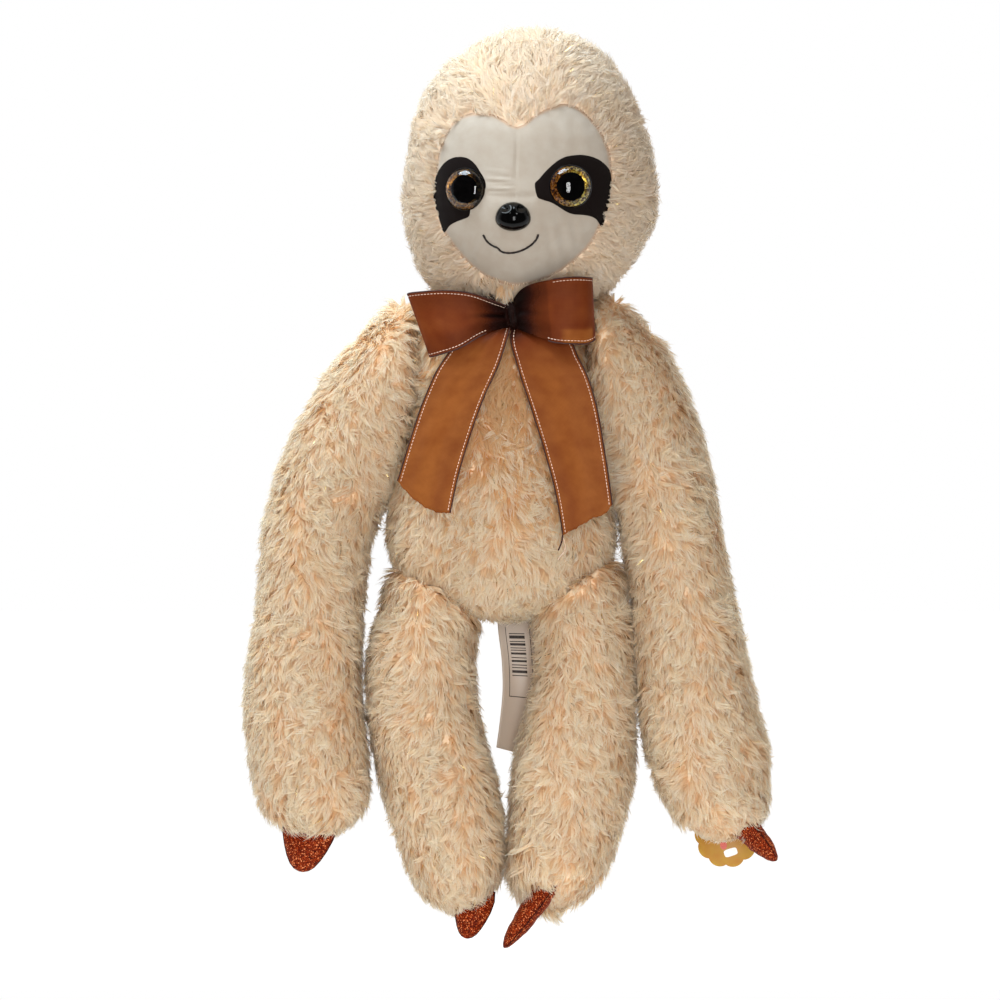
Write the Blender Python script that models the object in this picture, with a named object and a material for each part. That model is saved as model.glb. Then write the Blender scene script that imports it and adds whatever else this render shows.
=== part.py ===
"""A long-armed plush sloth, 600 mm tall, held up by its neck with its limbs hanging.

The body, head, arms and legs are stuffed forms. The face is a sewn velour panel with eye
patches, safety eyes, a safety nose and a stitched mouth. Each limb ends in a padded claw of
glitter cloth, and a ribbon is tied round the neck in a bow. Sizes below are millimetres.
X runs to the right of someone who faces the toy, Y to its back and Z up. The origin is in
the middle of the neck. Left and right in names are the viewer's.
"""

import math

import bmesh
import bpy
import numpy as np
from mathutils import Matrix, Vector

MM = 0.001
GAP = 0.4

NECK_TOP = 4.0
NECK_HALF_WIDTH = 44.0
NECK_HALF_DEPTH = 38.0
BODY_X = -7.0
BODY_HALF_WIDTH = 71.0
BODY_HALF_DEPTH = 52.0
HIP_Z = -153.0
SHOULDER_Z = -34.0
SEAT_CUT = 0.5
LEG_CLEARANCE_SWINGS = (60, 82)

HEAD_HALF_DEPTH = 72.0
HEAD_TOP = 170.5
HEAD_ROUND = 62.0
MUZZLE = {"x": 0.0, "z": 50.0, "spread_x": 27.0, "spread_z": 25.0, "out": 9.5}

PANEL_LIFT = 0.8
PANEL_THICKNESS = 1.6
PATCH_THICKNESS = 0.8
EYE_DIAMETER = 28.0
EYE_RIM = 2.0
EYE_DOME = 8.0
EYE_SEAT = 1.0
SHANK_RADIUS = 2.5
SHANK_LENGTH = 11.0
WASHER_DEPTH = 3.0
WASHER_RADIUS = 10.0
WASHER_THICKNESS = 2.0
NOSE_WIDTH = 23.5
NOSE_HEIGHT = 17.5
NOSE_TAPER = 0.3
# Height above the face and half width.
NOSE_PROFILE = [
    (-1.4, 9.8), (0.4, 11.4), (3.5, NOSE_WIDTH / 2), (6.5, 10.4), (8.7, 7.6), (9.7, 4), (10, 0),
]
MOUTH_THREAD = 1.4

RIBBON_THICKNESS = 0.8
RIBBON_FOLD = 1.6
NECK_BAND_LOW, NECK_BAND_HIGH = -8.5, 2.0
NECK_BAND_HALF_WIDTH, NECK_BAND_HALF_DEPTH = 48.5, 42.5
NECK_BAND_THICKNESS = 1.0
LABEL_THICKNESS = 0.6
TAG_THICKNESS = 0.7

# Each row of a stuffed form: centre x, y, z, half width, half depth.
BODY_ROWS = [
    (-5, 0, NECK_TOP, NECK_HALF_WIDTH, NECK_HALF_DEPTH),
    (-6, 0, -9, 46.5, 40),
    (BODY_X, 0, -21, 54, 43.5),
    (BODY_X, 0, -36, 58, 46.5),
    (BODY_X, 0, -62, 60.5, 49),
    (BODY_X, 0, -92, 64, 51),
    (BODY_X, 0, -122, 68, 52),
    (BODY_X, 0, HIP_Z, BODY_HALF_WIDTH, BODY_HALF_DEPTH),
    (BODY_X, 0, HIP_Z - BODY_HALF_DEPTH, BODY_HALF_WIDTH, BODY_HALF_DEPTH),
]
HEAD_ROWS = [
    (5, 0, NECK_TOP + GAP, 49, 44),
    (6, 0, 15, 58.5, 54),
    (9, 0, 33, 69, 64),
    (11.5, 0, 60, 78.5, 71),
    (12, 0, 80, 77.5, HEAD_HALF_DEPTH),
    (11.5, 0, 100, 73.5, 71),
    (10.5, 0, 124, 70, 65),
    (12.5, 0, 151, 66, 60),
    (15, 0, HEAD_TOP, 62, 57),
]
ARM_LEFT_ROWS = [
    (-38, 0, -17, 32, 33),
    (-67.5, 0, -44, 34.5, 34),
    (-100, 1, -88, 34.5, 34),
    (-124.5, 2, -139, 31.5, 34),
    (-132.5, 2, -205, 30, 33),
    (-136.5, 0, -260, 34, 34),
    (-133, -2, -300, 34.5, 34),
    (-129, -3, -330, 30, 31),
    (-128, -3, -347, 24, 26),
]
ARM_RIGHT_ROWS = [
    (30, 0, -15, 32, 33),
    (59, 0, -41, 35.5, 34),
    (81, 1, -80, 34, 34),
    (101.5, 2, -138, 28.5, 33),
    (107.5, 2, -177, 28.5, 33),
    (112.5, 2, -212, 31, 33),
    (121, 0, -268, 34.5, 34),
    (129.5, -2, -302, 34.5, 34),
    (136.5, -3, -333, 27, 30),
    (138, -3, -352, 20, 23),
]
LEG_LEFT_ROWS = [
    (-47, 0, -166, 27, 32),
    (-54, 0, -207, 28, 33),
    (-60, 0, -240, 31, 33),
    (-59, 0, -267, 31.5, 33),
    (-53, 0, -300, 32, 34),
    (-43.5, -1, -333, 31.5, 35),
    (-37, -2, -367, 27, 33),
    (-32.5, -3, -396, 19.5, 27),
]
LEG_RIGHT_ROWS = [
    (38, 0, -166, 29, 32),
    (46, 0, -207, 28, 33),
    (48.5, 0, -245, 28, 33),
    (46, 0, -270, 30.5, 33),
    (41.5, 0, -300, 34.5, 34),
    (36, -1, -333, 33, 35),
    (30.5, -2, -364, 29, 33),
    (26.5, -3, -396, 18.5, 27),
]

# How far the body's side lies from the shoulder axis, outwards, at each radius about it.
SHOULDER_SIDE = [(150, 75), (119, 72.5), (88, 69.5), (58, 65.5), (28, 62), (10, 60), (0, 59.5)]
SHOULDER_CUT_DEPTH = 12.0
HIP_CLEARANCE = 1.5
LAP_CLEARANCE = 1.0

# Each claw: its root, its tip, its width and thickness at the root, and the turn of its
# flat side about its length, in degrees. At 0 the flat side faces the front.
CLAWS = {
    "hand_claw_left": ((-129.5, -3, -334), (-139, -6, -374), 37, 15, 8),
    "hand_claw_right": ((143, -3, -335), (174, -8, -367), 30, 15, 62),
    "foot_claw_left": ((-24, -4, -386), (-30, -14, -418), 27, 15, 18),
    "foot_claw_right": ((22, -5, -378), (-6, -14, -424), 28, 15, 62),
}

# The share of a claw's length, of its width and of its thickness at each ring.
CLAW_RINGS = [
    (0, 0.88, 0.8), (0.2, 1, 1), (0.45, 0.94, 1), (0.66, 0.78, 0.86), (0.83, 0.6, 0.64),
    (0.94, 0.42, 0.4), (0.985, 0.24, 0.22),
]

FACE_PANEL = [
    (3.3, 113), (-13, 121), (-33, 120), (-45, 107), (-50, 88), (-50.5, 65), (-46.5, 47),
    (-36, 31), (-19, 15.5), (2, 9), (24, 14), (42, 26), (54, 40), (62, 60), (65.5, 82),
    (62, 102), (52, 118), (36, 128), (17, 122),
]
PATCH_LEFT = [
    (-34, 93), (-43, 88), (-49, 78), (-48.5, 62), (-44.5, 44), (-37, 50), (-29, 53), (-25, 59),
    (-17, 70), (-19, 80), (-26, 89),
]
PATCH_RIGHT = [
    (14.5, 75.5), (24, 88), (39, 94), (54, 91), (63.5, 81), (61.5, 62), (57, 46.5), (51, 54.5),
    (38, 55.5), (27, 62), (16, 66),
]
EYES = {"left": (-32.8, 73.4), "right": (39.3, 74.7)}
NOSE = (0.7, 54.0)
MOUTH = [
    (-19, 42.6), (-16.2, 38), (-11.5, 34.5), (-8.2, 32.2), (-4, 30.2), (2, 30.3), (8, 32.6),
    (13, 36), (16.8, 42.4),
]

KNOT = (-2.6, -50.8, -8.5)
KNOT_PROFILE = [(-8, 0), (-7.4, 4), (-4.5, 6.6), (0, 6.0), (4.5, 6.6), (7.4, 4), (8, 0)]
KNOT_ROUNDNESS = 0.95
# Rows of a ribbon: its two edges, each x, y, z.
LOOP_LEFT_FRONT = [
    (-9.6, -54.5, -2, -9.6, -54.5, -15), (-22, -64, 2.5, -20, -64, -21), (-40, -68, 6, -36, -69, -29),
    (-58, -66, 5.5, -47, -67, -34), (-68.5, -58, 3.5, -54, -60, -37.5),
]
LOOP_LEFT_BACK = [
    (-66, -53, 1.5, -53, -55, -36), (-52, -53, 3, -43, -55, -32), (-34, -53, 3, -31, -55, -25),
    (-18, -52, 0, -18, -53, -18), (-9.6, -50, -3, -9.6, -50, -14),
]
LOOP_RIGHT_FRONT = [
    (4.4, -54.5, -1, 4.4, -54.5, -15), (13, -64, 6, 15, -64, -22), (25, -68, 11, 26, -69, -27),
    (40, -67, 13.5, 42, -68, -28), (52.5, -59, 14, 53.5, -60, -26),
]
LOOP_RIGHT_BACK = [
    (51, -54, 12.5, 52, -55, -24.5), (38, -54, 11, 40, -55, -24), (24, -54, 8, 25, -55, -21),
    (12.5, -52, 2, 12.5, -53, -17), (4.4, -50, -3, 4.4, -50, -14),
]
TAIL_LEFT = [
    (-13, -54, -19, -1, -55, -17), (-33, -60, -27, -3, -60, -24), (-45, -64, -40, -8, -64, -40),
    (-57, -66, -64, -19, -67, -65), (-66, -68, -90, -28.5, -70, -92),
    (-74, -69, -116, -36.5, -71, -120), (-75.5, -69, -120, -40.6, -71, -139.5),
]
TAIL_RIGHT = [
    (0, -54, -18, 10, -53, -18), (-1, -58, -26, 32, -59, -22), (3, -62, -42, 44, -64, -40),
    (14, -66, -76, 54.5, -68, -68), (22, -69, -102, 60, -70, -98),
    (29.5, -70, -132, 64, -70, -124), (32.8, -70, -155, 65.5, -70, -135),
]
LABEL = [
    (-9.5, 27, -198.8, 17, 26, -196.6), (-9.5, 28, -213, 17, 27, -213),
    (-7, 27.5, -240, 15, 28, -240), (-8, 25, -267, 7.5, 28.5, -268),
    (-11.5, 22.5, -292, 1, 28.5, -295),
]
LABEL_FOLD = 0.6
LABEL_HINGE = (4.5, 26.5, -197.5)

TAG_CENTRE = (141.0, 34.5, -351.0)
TAG_RADIUS = 20.5
TAG_LOBES = 12
TAG_LOBE = 1.8
TAG_HOLE_RADIUS = 2.3
TAG_HOLE_INSET = 4.5
TAG_HINGE = (TAG_CENTRE[0], TAG_CENTRE[1], TAG_CENTRE[2] + TAG_RADIUS - TAG_HOLE_INSET)
FASTENER_RADIUS = 0.6
# The fastener's route from the wrist, through the card's hole and up behind it, from TAG_HINGE.
FASTENER_ROUTE = [
    (0, -4.9, 15), (0, -1.0, 13), (0, 2.2, 6), (0, 1.8, 1.2), (0, 0, 0), (0, -1.8, 0.6),
    (0, -2.6, 3),
]

COLOURS = {
    "fur": (0.78, 0.62, 0.40),
    "velour": (0.79, 0.73, 0.63),
    "dark velour": (0.012, 0.009, 0.011),
    "eye plastic": (0.35, 0.22, 0.05),
    "black plastic": (0.006, 0.006, 0.006),
    "white plastic": (0.80, 0.80, 0.78),
    "mouth thread": (0.010, 0.008, 0.008),
    "glitter cloth": (0.22, 0.035, 0.010),
    "ribbon": (0.27, 0.085, 0.025),
    "label satin": (0.80, 0.79, 0.77),
    "card": (0.72, 0.42, 0.03),
}
ROUGHNESS = {"eye plastic": 0.08, "black plastic": 0.15, "white plastic": 0.4, "ribbon": 0.45}


def clear_scene():
    for old in list(bpy.data.objects):
        bpy.data.objects.remove(old, do_unlink=True)


def material(name):
    found = bpy.data.materials.get(name)
    if found:
        return found
    made = bpy.data.materials.new(name)
    made.use_nodes = True
    shader = made.node_tree.nodes["Principled BSDF"]
    shader.inputs["Base Color"].default_value = (*COLOURS[name], 1)
    shader.inputs["Roughness"].default_value = ROUGHNESS.get(name, 0.9)
    shader.inputs["Metallic"].default_value = 0.3 if name == "glitter cloth" else 0.0
    return made


def make_object(name, points, faces, finish):
    """A mesh object from points in millimetres, with its faces turned outwards."""
    mesh = bpy.data.meshes.new(name)
    mesh.from_pydata([Vector(p) * MM for p in points], [], faces)
    shape = bmesh.new()
    shape.from_mesh(mesh)
    bmesh.ops.recalc_face_normals(shape, faces=shape.faces)
    shape.to_mesh(mesh)
    shape.free()
    mesh.shade_smooth()
    mesh.set_sharp_from_angle(angle=math.radians(40))
    made = bpy.data.objects.new(name, mesh)
    bpy.context.scene.collection.objects.link(made)
    mesh.materials.append(material(finish))
    return made


def smooth_rows(rows, knots, at):
    """Rows of numbers read between their knots on one smooth curve."""
    rows, knots, at = np.array(rows, float), np.array(knots, float), np.array(at, float)
    slope = np.gradient(rows, knots, axis=0)
    low = np.clip(np.searchsorted(knots, at, side="right") - 1, 0, len(knots) - 2)
    span = np.diff(knots)[low][:, None]
    t = (at - knots[low])[:, None] / span
    return (
        rows[low] * (2 * t**3 - 3 * t**2 + 1)
        + slope[low] * span * (t**3 - 2 * t**2 + t)
        + rows[low + 1] * (3 * t**2 - 2 * t**3)
        + slope[low + 1] * span * (t**3 - t**2)
    )


def distances(points):
    """How far each point lies along the line through all of them."""
    steps = np.linalg.norm(np.diff(np.array(points, float), axis=0), axis=1)
    return np.concatenate([[0.0], np.cumsum(steps)])


def ring_places(length, rings, start_round, end_round):
    """Where the rings go along a stuffed form, closer together on its round ends."""
    turns = np.radians([14, 32, 50, 69])
    start = start_round * (1 - np.cos(turns)) if start_round else np.array([0.0])
    end = length - end_round * (1 - np.cos(turns[::-1])) if end_round else np.array([length])
    middle = np.linspace(start_round, length - end_round, rings)
    return np.unique(np.round(np.concatenate([start, middle, end]), 6))


def round_share(at, length, start_round, end_round):
    """The share of its full size that a form has near its round ends."""
    share = np.ones_like(at)
    if start_round:
        share *= np.sqrt(1 - np.clip(1 - at / start_round, 0, 1) ** 2)
    if end_round:
        share *= np.sqrt(1 - np.clip(1 - (length - at) / end_round, 0, 1) ** 2)
    return share


def stuffed(name, rows, finish="fur", around=28, rings=12, start_round=0, end_round=0,
            upright=False, grow=0.0, shape_point=None):
    """A closed form that swells and tapers along the centres of its rows."""
    rows = np.array(rows, float)
    knots = np.abs(rows[:, 2] - rows[0, 2]) if upright else distances(rows[:, :3])
    length = knots[-1]
    at = ring_places(length, rings, start_round, end_round)
    read = smooth_rows(rows, knots, at)
    share = round_share(at, length, start_round, end_round)
    ahead = smooth_rows(rows, knots, np.minimum(at + 0.5, length))[:, :3]
    behind = smooth_rows(rows, knots, np.maximum(at - 0.5, 0))[:, :3]
    points = []
    for row, size, run in zip(read, share, ahead - behind):
        run = Vector((0, 0, run[2])) if upright else Vector((run[0], 0, run[2]))
        side = run.normalized().cross(Vector((0, 1, 0)))
        for turn in np.linspace(0, 2 * math.pi, around, endpoint=False):
            across = side * (row[3] * size + grow) * math.cos(turn)
            depth = Vector((0, 1, 0)) * (row[4] * size + grow) * math.sin(turn)
            point = Vector(row[:3]) + across + depth
            points.append(shape_point(point) if shape_point else point)
    count = len(at)
    ends = smooth_rows(rows, knots, [0, length])[:, :3]
    reach = Vector(ends[0] - read[min(1, count - 1), :3]).normalized() * grow
    points.append(Vector(ends[0]) + (reach if start_round else Vector((0, 0, 0))))
    points.append(Vector(ends[1]) + (Vector((0, 0, -grow)) if end_round else Vector((0, 0, 0))))
    return make_object(name, points, tube_faces(count, around), finish)


def tube_faces(rings, around):
    """Faces of a tube of rings, closed by a point after the last ring at each end."""
    faces = []
    for ring in range(rings - 1):
        for k in range(around):
            a, b = ring * around + k, ring * around + (k + 1) % around
            faces.append((a, b, b + around, a + around))
    first, last, base = rings * around, rings * around + 1, (rings - 1) * around
    for k in range(around):
        faces.append((first, (k + 1) % around, k))
        faces.append((last, base + k, base + (k + 1) % around))
    return faces


def turned(name, profile, centre, finish="white plastic", around=32, turn=Matrix()):
    """A form turned about its own Z axis from (height, radius) rows, then turned and placed."""
    points = []
    for height, radius in profile[1:-1]:
        for k in range(around):
            angle = 2 * math.pi * k / around
            points.append(Vector((radius * math.cos(angle), radius * math.sin(angle), height)))
    points += [Vector((0, 0, profile[0][0])), Vector((0, 0, profile[-1][0]))]
    points = [turn @ p + Vector(centre) for p in points]
    return make_object(name, points, tube_faces(len(profile) - 2, around), finish)


def disc(name, low, high, radius, centre, turn, finish="white plastic", around=32):
    rows = [(low, 0), (low, radius), (high, radius), (high, 0)]
    return turned(name, rows, centre, finish, around, turn)


def cut(target, *cutters):
    for cutter in cutters:
        cutter.hide_render = True
        cutter.display_type = "WIRE"
        boolean = target.modifiers.new("cut by " + cutter.name, "BOOLEAN")
        boolean.operation = "DIFFERENCE"
        boolean.object = cutter


def muzzle_bulge(x, z):
    across = (x - MUZZLE["x"]) / MUZZLE["spread_x"]
    up = (z - MUZZLE["z"]) / MUZZLE["spread_z"]
    return MUZZLE["out"] * math.exp(-(across**2) - up**2)


def muzzled(point):
    """A point of the head, pushed out where the muzzle is."""
    if point.y >= 0:
        return point
    ahead = min(1.0, -point.y / HEAD_HALF_DEPTH * 1.6)
    return point + Vector((0, -muzzle_bulge(point.x, point.z) * ahead, 0))


def face_y(x, z):
    """How far forward the furless front of the head lies at this place."""
    height = [row[2] - HEAD_ROWS[0][2] for row in HEAD_ROWS]
    row = smooth_rows(HEAD_ROWS, height, [z - HEAD_ROWS[0][2]])[0]
    length = height[-1]
    size = round_share(np.array([z - HEAD_ROWS[0][2]]), length, 0, HEAD_ROUND)[0]
    part = min(0.999, abs((x - row[0]) / (row[3] * size)))
    return muzzled(Vector((x, row[1] - row[4] * size * math.sqrt(1 - part**2), z))).y


def face_normal(x, z):
    """The way the front of the head faces there."""
    step = 1.5
    along_x = Vector((2 * step, face_y(x + step, z) - face_y(x - step, z), 0))
    along_z = Vector((0, face_y(x, z + step) - face_y(x, z - step), 2 * step))
    return along_x.cross(along_z).normalized()


def closed_curve(points, count):
    """Points spread evenly along a smooth closed curve."""
    loop = np.array(points + points[:3], float)
    knots = distances(loop)
    start, end = knots[1], knots[len(points) + 1]
    return smooth_rows(loop, knots, np.linspace(start, end, count, endpoint=False))


def face_patch(name, outline, lift, thickness, finish, around, rings):
    """A thin cloth piece laid on the face, its outline given in x and z."""
    edge = closed_curve(outline, around)
    middle = edge.mean(axis=0)
    points = []
    sides = [lift, lift + thickness]
    for height, order in zip(sides, [np.arange(rings), np.arange(rings)[::-1]]):
        for ring in order:
            share = (ring + 1) / rings
            for x, z in middle + (edge - middle) * share:
                points.append(Vector((x, face_y(x, z), z)) + face_normal(x, z) * height)
    for height in sides:
        x, z = middle
        points.append(Vector((x, face_y(x, z), z)) + face_normal(x, z) * height)
    return make_object(name, points, tube_faces(2 * rings, around), finish)


def facing(normal):
    """The turn that takes a piece's own Z axis to this direction."""
    return normal.to_track_quat("Z", "Y").to_matrix().to_4x4()


def hold(pieces, axis_point):
    """An empty on a joint's axis that carries the pieces of one moving body."""
    empty = bpy.data.objects.new(pieces[0].name + "_axis", None)
    bpy.context.scene.collection.objects.link(empty)
    empty.location = Vector(axis_point) * MM
    for piece in pieces:
        piece.parent = empty
        piece.data.transform(Matrix.Translation(-empty.location))
    return empty


def eye_profile():
    """A safety eye's rim and dome, as height above the patch and radius."""
    radius = EYE_DIAMETER / 2
    rim = [(-0.2, radius - 0.8), (0.6, radius), (EYE_RIM, radius - 0.2)]
    turns = np.radians([18, 36, 54, 72, 90])
    dome = [
        (EYE_RIM + (EYE_DOME - EYE_RIM) * math.sin(a), (radius - 0.6) * math.cos(a)) for a in turns
    ]
    return rim + dome


def safety_piece(name, spot, lift, profile, finish, head, panels):
    """A plastic face piece, its shank through the cloth, and the washer that locks it."""
    normal = face_normal(*spot)
    base = Vector((spot[0], face_y(*spot), spot[1])) + normal * lift
    turn = facing(normal)
    shank_end = -lift - SHANK_LENGTH
    rows = [(shank_end, 0), (shank_end, SHANK_RADIUS), (0, SHANK_RADIUS), *profile]
    piece = turned(name, rows, base, finish, 28, turn)
    top = -lift - WASHER_DEPTH
    bottom = top - WASHER_THICKNESS
    washer = disc(name + "_washer", bottom, top, WASHER_RADIUS, base, turn, around=24)
    hole, pocket = SHANK_RADIUS + GAP, WASHER_RADIUS + GAP
    low, high = shank_end - 1, EYE_DOME
    bore = disc(name + "_bore", low, high, hole, base, turn)
    room_rows = [
        (low, 0), (low, hole), (bottom - GAP, hole), (bottom - GAP, pocket), (top + GAP, pocket),
        (top + GAP, hole), (high, hole), (high, 0),
    ]
    room = turned(name + "_room", room_rows, base, around=24, turn=turn)
    cut(washer, bore)
    cut(head, room)
    for panel in panels:
        cut(panel, bore)
    return [piece, washer]


def shape_nose(nose):
    """Squeezes the turned nose to its height and narrows its lower half."""
    middle = Vector((NOSE[0], face_y(*NOSE), NOSE[1])) * MM
    for vertex in nose.data.vertices:
        offset = vertex.co - middle
        on_shank = math.hypot(offset.x, offset.z) < (SHANK_RADIUS + 0.5) * MM
        if on_shank and offset.y > -4 * MM:
            continue
        offset.z *= NOSE_HEIGHT / NOSE_WIDTH
        if offset.z < 0:
            offset.x *= 1 + NOSE_TAPER * offset.z / (NOSE_HEIGHT / 2 * MM)
        vertex.co = middle + offset


def stitched_mouth():
    """The mouth, a thread laid on the velour."""
    curve = bpy.data.curves.new("mouth_stitching", "CURVE")
    curve.dimensions = "3D"
    curve.bevel_depth = MOUTH_THREAD / 2 * MM
    curve.bevel_resolution = 1
    curve.use_fill_caps = True
    line = smooth_rows(MOUTH, distances(MOUTH), np.linspace(0, distances(MOUTH)[-1], 19))
    spline = curve.splines.new("POLY")
    spline.points.add(len(line) - 1)
    lift = PANEL_LIFT + PANEL_THICKNESS + GAP + MOUTH_THREAD / 2 + 0.1
    for spot, (x, z) in zip(spline.points, line):
        place = Vector((x, face_y(x, z), z)) + face_normal(x, z) * lift
        spot.co = (*(place * MM), 1)
    made = bpy.data.objects.new("mouth_stitching", curve)
    bpy.context.scene.collection.objects.link(made)
    curve.materials.append(material("mouth thread"))
    return made


def claw(name, limb_rows, limb_ends):
    """A padded claw of two layers with a seam round its edge, cut to the limb's round end."""
    root, tip, width, thickness, flat_turn = CLAWS[name]
    root, tip = Vector(root), Vector(tip)
    along = (tip - root).normalized()
    across = along.cross(Vector((0, 1, 0))).normalized()
    across = Matrix.Rotation(math.radians(flat_turn), 3, along) @ across
    through = along.cross(across)
    around, points = 20, []
    for share, wide, thick in CLAW_RINGS:
        for k in range(around):
            angle = 2 * math.pi * k / around
            reach = abs(math.sin(angle)) ** 0.9 * math.copysign(1, math.sin(angle))
            offset = across * (width / 2 * wide * math.cos(angle))
            offset += through * (thickness / 2 * thick * reach)
            points.append(root.lerp(tip, share) + offset)
    points += [root, tip]
    made = make_object(name, points, tube_faces(len(CLAW_RINGS), around), "glitter cloth")
    cutter = stuffed(name + "_root_cut", limb_rows, around=36, rings=14, grow=GAP, **limb_ends)
    cut(made, cutter)
    return made


def ribbon(name, rows, count, fold, finish="ribbon", thickness=RIBBON_THICKNESS, across=5):
    """A strip of cloth between two edges, with a soft fold along it."""
    middle = [[(row[i] + row[i + 3]) / 2 for i in range(3)] for row in rows]
    knots = distances(middle)
    edges = smooth_rows(rows, knots, np.linspace(0, knots[-1], count))
    points, faces = [], []
    for i, row in enumerate(edges):
        start, end = Vector(row[:3]), Vector(row[3:])
        for k in range(across + 1):
            share = k / across
            wave = fold * math.sin(2 * math.pi * share) * math.sin(math.pi * i / (count - 1))
            points.append(start.lerp(end, share) + Vector((0, wave, 0)))
    for i in range(count - 1):
        for k in range(across):
            a = i * (across + 1) + k
            faces.append((a, a + 1, a + across + 2, a + across + 1))
    made = make_object(name, points, faces, finish)
    wall = made.modifiers.new("cloth thickness", "SOLIDIFY")
    wall.thickness = thickness * MM
    wall.offset = 0
    return made


def neck_band():
    """The ribbon round the neck, gathered narrow under the head."""
    around, wall = 40, NECK_BAND_THICKNESS
    section = [
        (NECK_BAND_LOW, 0), (NECK_BAND_LOW, wall), (NECK_BAND_HIGH, wall), (NECK_BAND_HIGH, 0),
    ]
    points, faces = [], []
    for k in range(around):
        angle = 2 * math.pi * k / around
        for z, out in section:
            x = BODY_X + 1 + (NECK_BAND_HALF_WIDTH + out) * math.cos(angle)
            points.append(Vector((x, (NECK_BAND_HALF_DEPTH + out) * math.sin(angle), z)))
    for k in range(around):
        for i in range(4):
            a, b = k * 4 + i, k * 4 + (i + 1) % 4
            faces.append((a, b, (b + 4) % (4 * around), (a + 4) % (4 * around)))
    return make_object("neck_ribbon", points, faces, "ribbon")


def knot():
    """The bow's knot, a pinched turn of ribbon."""
    made = turned("bow_knot", KNOT_PROFILE, KNOT, "ribbon", 20)
    centre = Matrix.Translation(Vector(KNOT) * MM)
    squeeze = Matrix.Diagonal((KNOT_ROUNDNESS, 1.0, 1.0, 1.0))
    made.data.transform(centre @ squeeze @ centre.inverted())
    return made


def swing_tag():
    """A scalloped card with a hole for its fastener."""
    x, y, z = TAG_CENTRE
    points, around = [], TAG_LOBES * 5
    for side in (-0.5, 0.5):
        for k in range(around):
            angle = 2 * math.pi * k / around
            radius = TAG_RADIUS + TAG_LOBE * abs(math.sin(TAG_LOBES * angle / 2)) ** 0.7
            place = (radius * math.cos(angle), side * TAG_THICKNESS, radius * math.sin(angle))
            points.append(Vector(TAG_CENTRE) + Vector(place))
    points += [Vector((x, y - 0.5 * TAG_THICKNESS, z)), Vector((x, y + 0.5 * TAG_THICKNESS, z))]
    card = make_object("swing_tag", points, tube_faces(2, around), "card")
    flat = facing(Vector((0, 1, 0)))
    hole = disc("tag_hole", -4, 4, TAG_HOLE_RADIUS, TAG_HINGE, flat, around=16)
    cut(card, hole)
    return card


def tag_fastener():
    """The plastic loop that holds the tag to the fur of the wrist."""
    curve = bpy.data.curves.new("tag_fastener", "CURVE")
    curve.dimensions = "3D"
    curve.bevel_depth = FASTENER_RADIUS * MM
    curve.bevel_resolution = 1
    curve.use_fill_caps = True
    spline = curve.splines.new("POLY")
    route = [Vector(TAG_HINGE) + Vector(step) for step in FASTENER_ROUTE]
    line = smooth_rows(route, distances(route), np.linspace(0, distances(route)[-1], 16))
    spline.points.add(len(line) - 1)
    for spot, place in zip(spline.points, line):
        spot.co = (*(Vector(place) * MM), 1)
    made = bpy.data.objects.new("tag_fastener", curve)
    bpy.context.scene.collection.objects.link(made)
    curve.materials.append(material("white plastic"))
    return made


def flatten_seat(body):
    """Cuts the underside flat, where the toy sits."""
    level = (HIP_Z - BODY_HALF_DEPTH + SEAT_CUT) * MM
    shape = bmesh.new()
    shape.from_mesh(body.data)
    geometry = shape.verts[:] + shape.edges[:] + shape.faces[:]
    result = bmesh.ops.bisect_plane(
        shape, geom=geometry, plane_co=(0, 0, level), plane_no=(0, 0, -1), clear_outer=True
    )
    rim = [item for item in result["geom_cut"] if isinstance(item, bmesh.types.BMEdge)]
    bmesh.ops.edgenet_fill(shape, edges=rim)
    bmesh.ops.recalc_face_normals(shape, faces=shape.faces)
    shape.to_mesh(body.data)
    shape.free()


def shoulder_cutter(side):
    """The body's side turned about the shoulder axis, so that a swinging arm clears it."""
    rows = [(-SHOULDER_CUT_DEPTH, 0), (-SHOULDER_CUT_DEPTH, SHOULDER_SIDE[0][0])]
    rows += [(half_width, radius) for radius, half_width in SHOULDER_SIDE]
    turn = Matrix.Rotation(math.radians(90 * side), 4, "Y")
    name = "shoulder_cut_" + ("right" if side > 0 else "left")
    return turned(name, rows, (BODY_X, 0, SHOULDER_Z), around=48, turn=turn)


def hip_cutter():
    """The body's round underside, a little larger, so that a swinging leg clears it."""
    width, depth = BODY_HALF_WIDTH + HIP_CLEARANCE, BODY_HALF_DEPTH + HIP_CLEARANCE
    angles = np.radians(np.linspace(-90, 90, 19))
    rows = [(width * math.sin(a), depth * math.cos(a)) for a in angles]
    turn = Matrix.Rotation(math.radians(90), 4, "Y")
    return turned("hip_cut", rows, (BODY_X, 0, HIP_Z), around=48, turn=turn)


def lap_cutters():
    """The body as a raised leg meets it, so that the root of the leg leaves room for it."""
    cutters = []
    for swing in LEG_CLEARANCE_SWINGS:
        cutter = stuffed(f"lap_cut_{swing}", BODY_ROWS, rings=11, around=32, upright=True,
                         end_round=BODY_HALF_DEPTH, grow=LAP_CLEARANCE)
        hip = Matrix.Translation(Vector((0, 0, HIP_Z)) * MM)
        turn = Matrix.Rotation(math.radians(swing), 4, "X")
        cutter.data.transform(hip @ turn @ hip.inverted())
        cutters.append(cutter)
    return cutters


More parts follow.
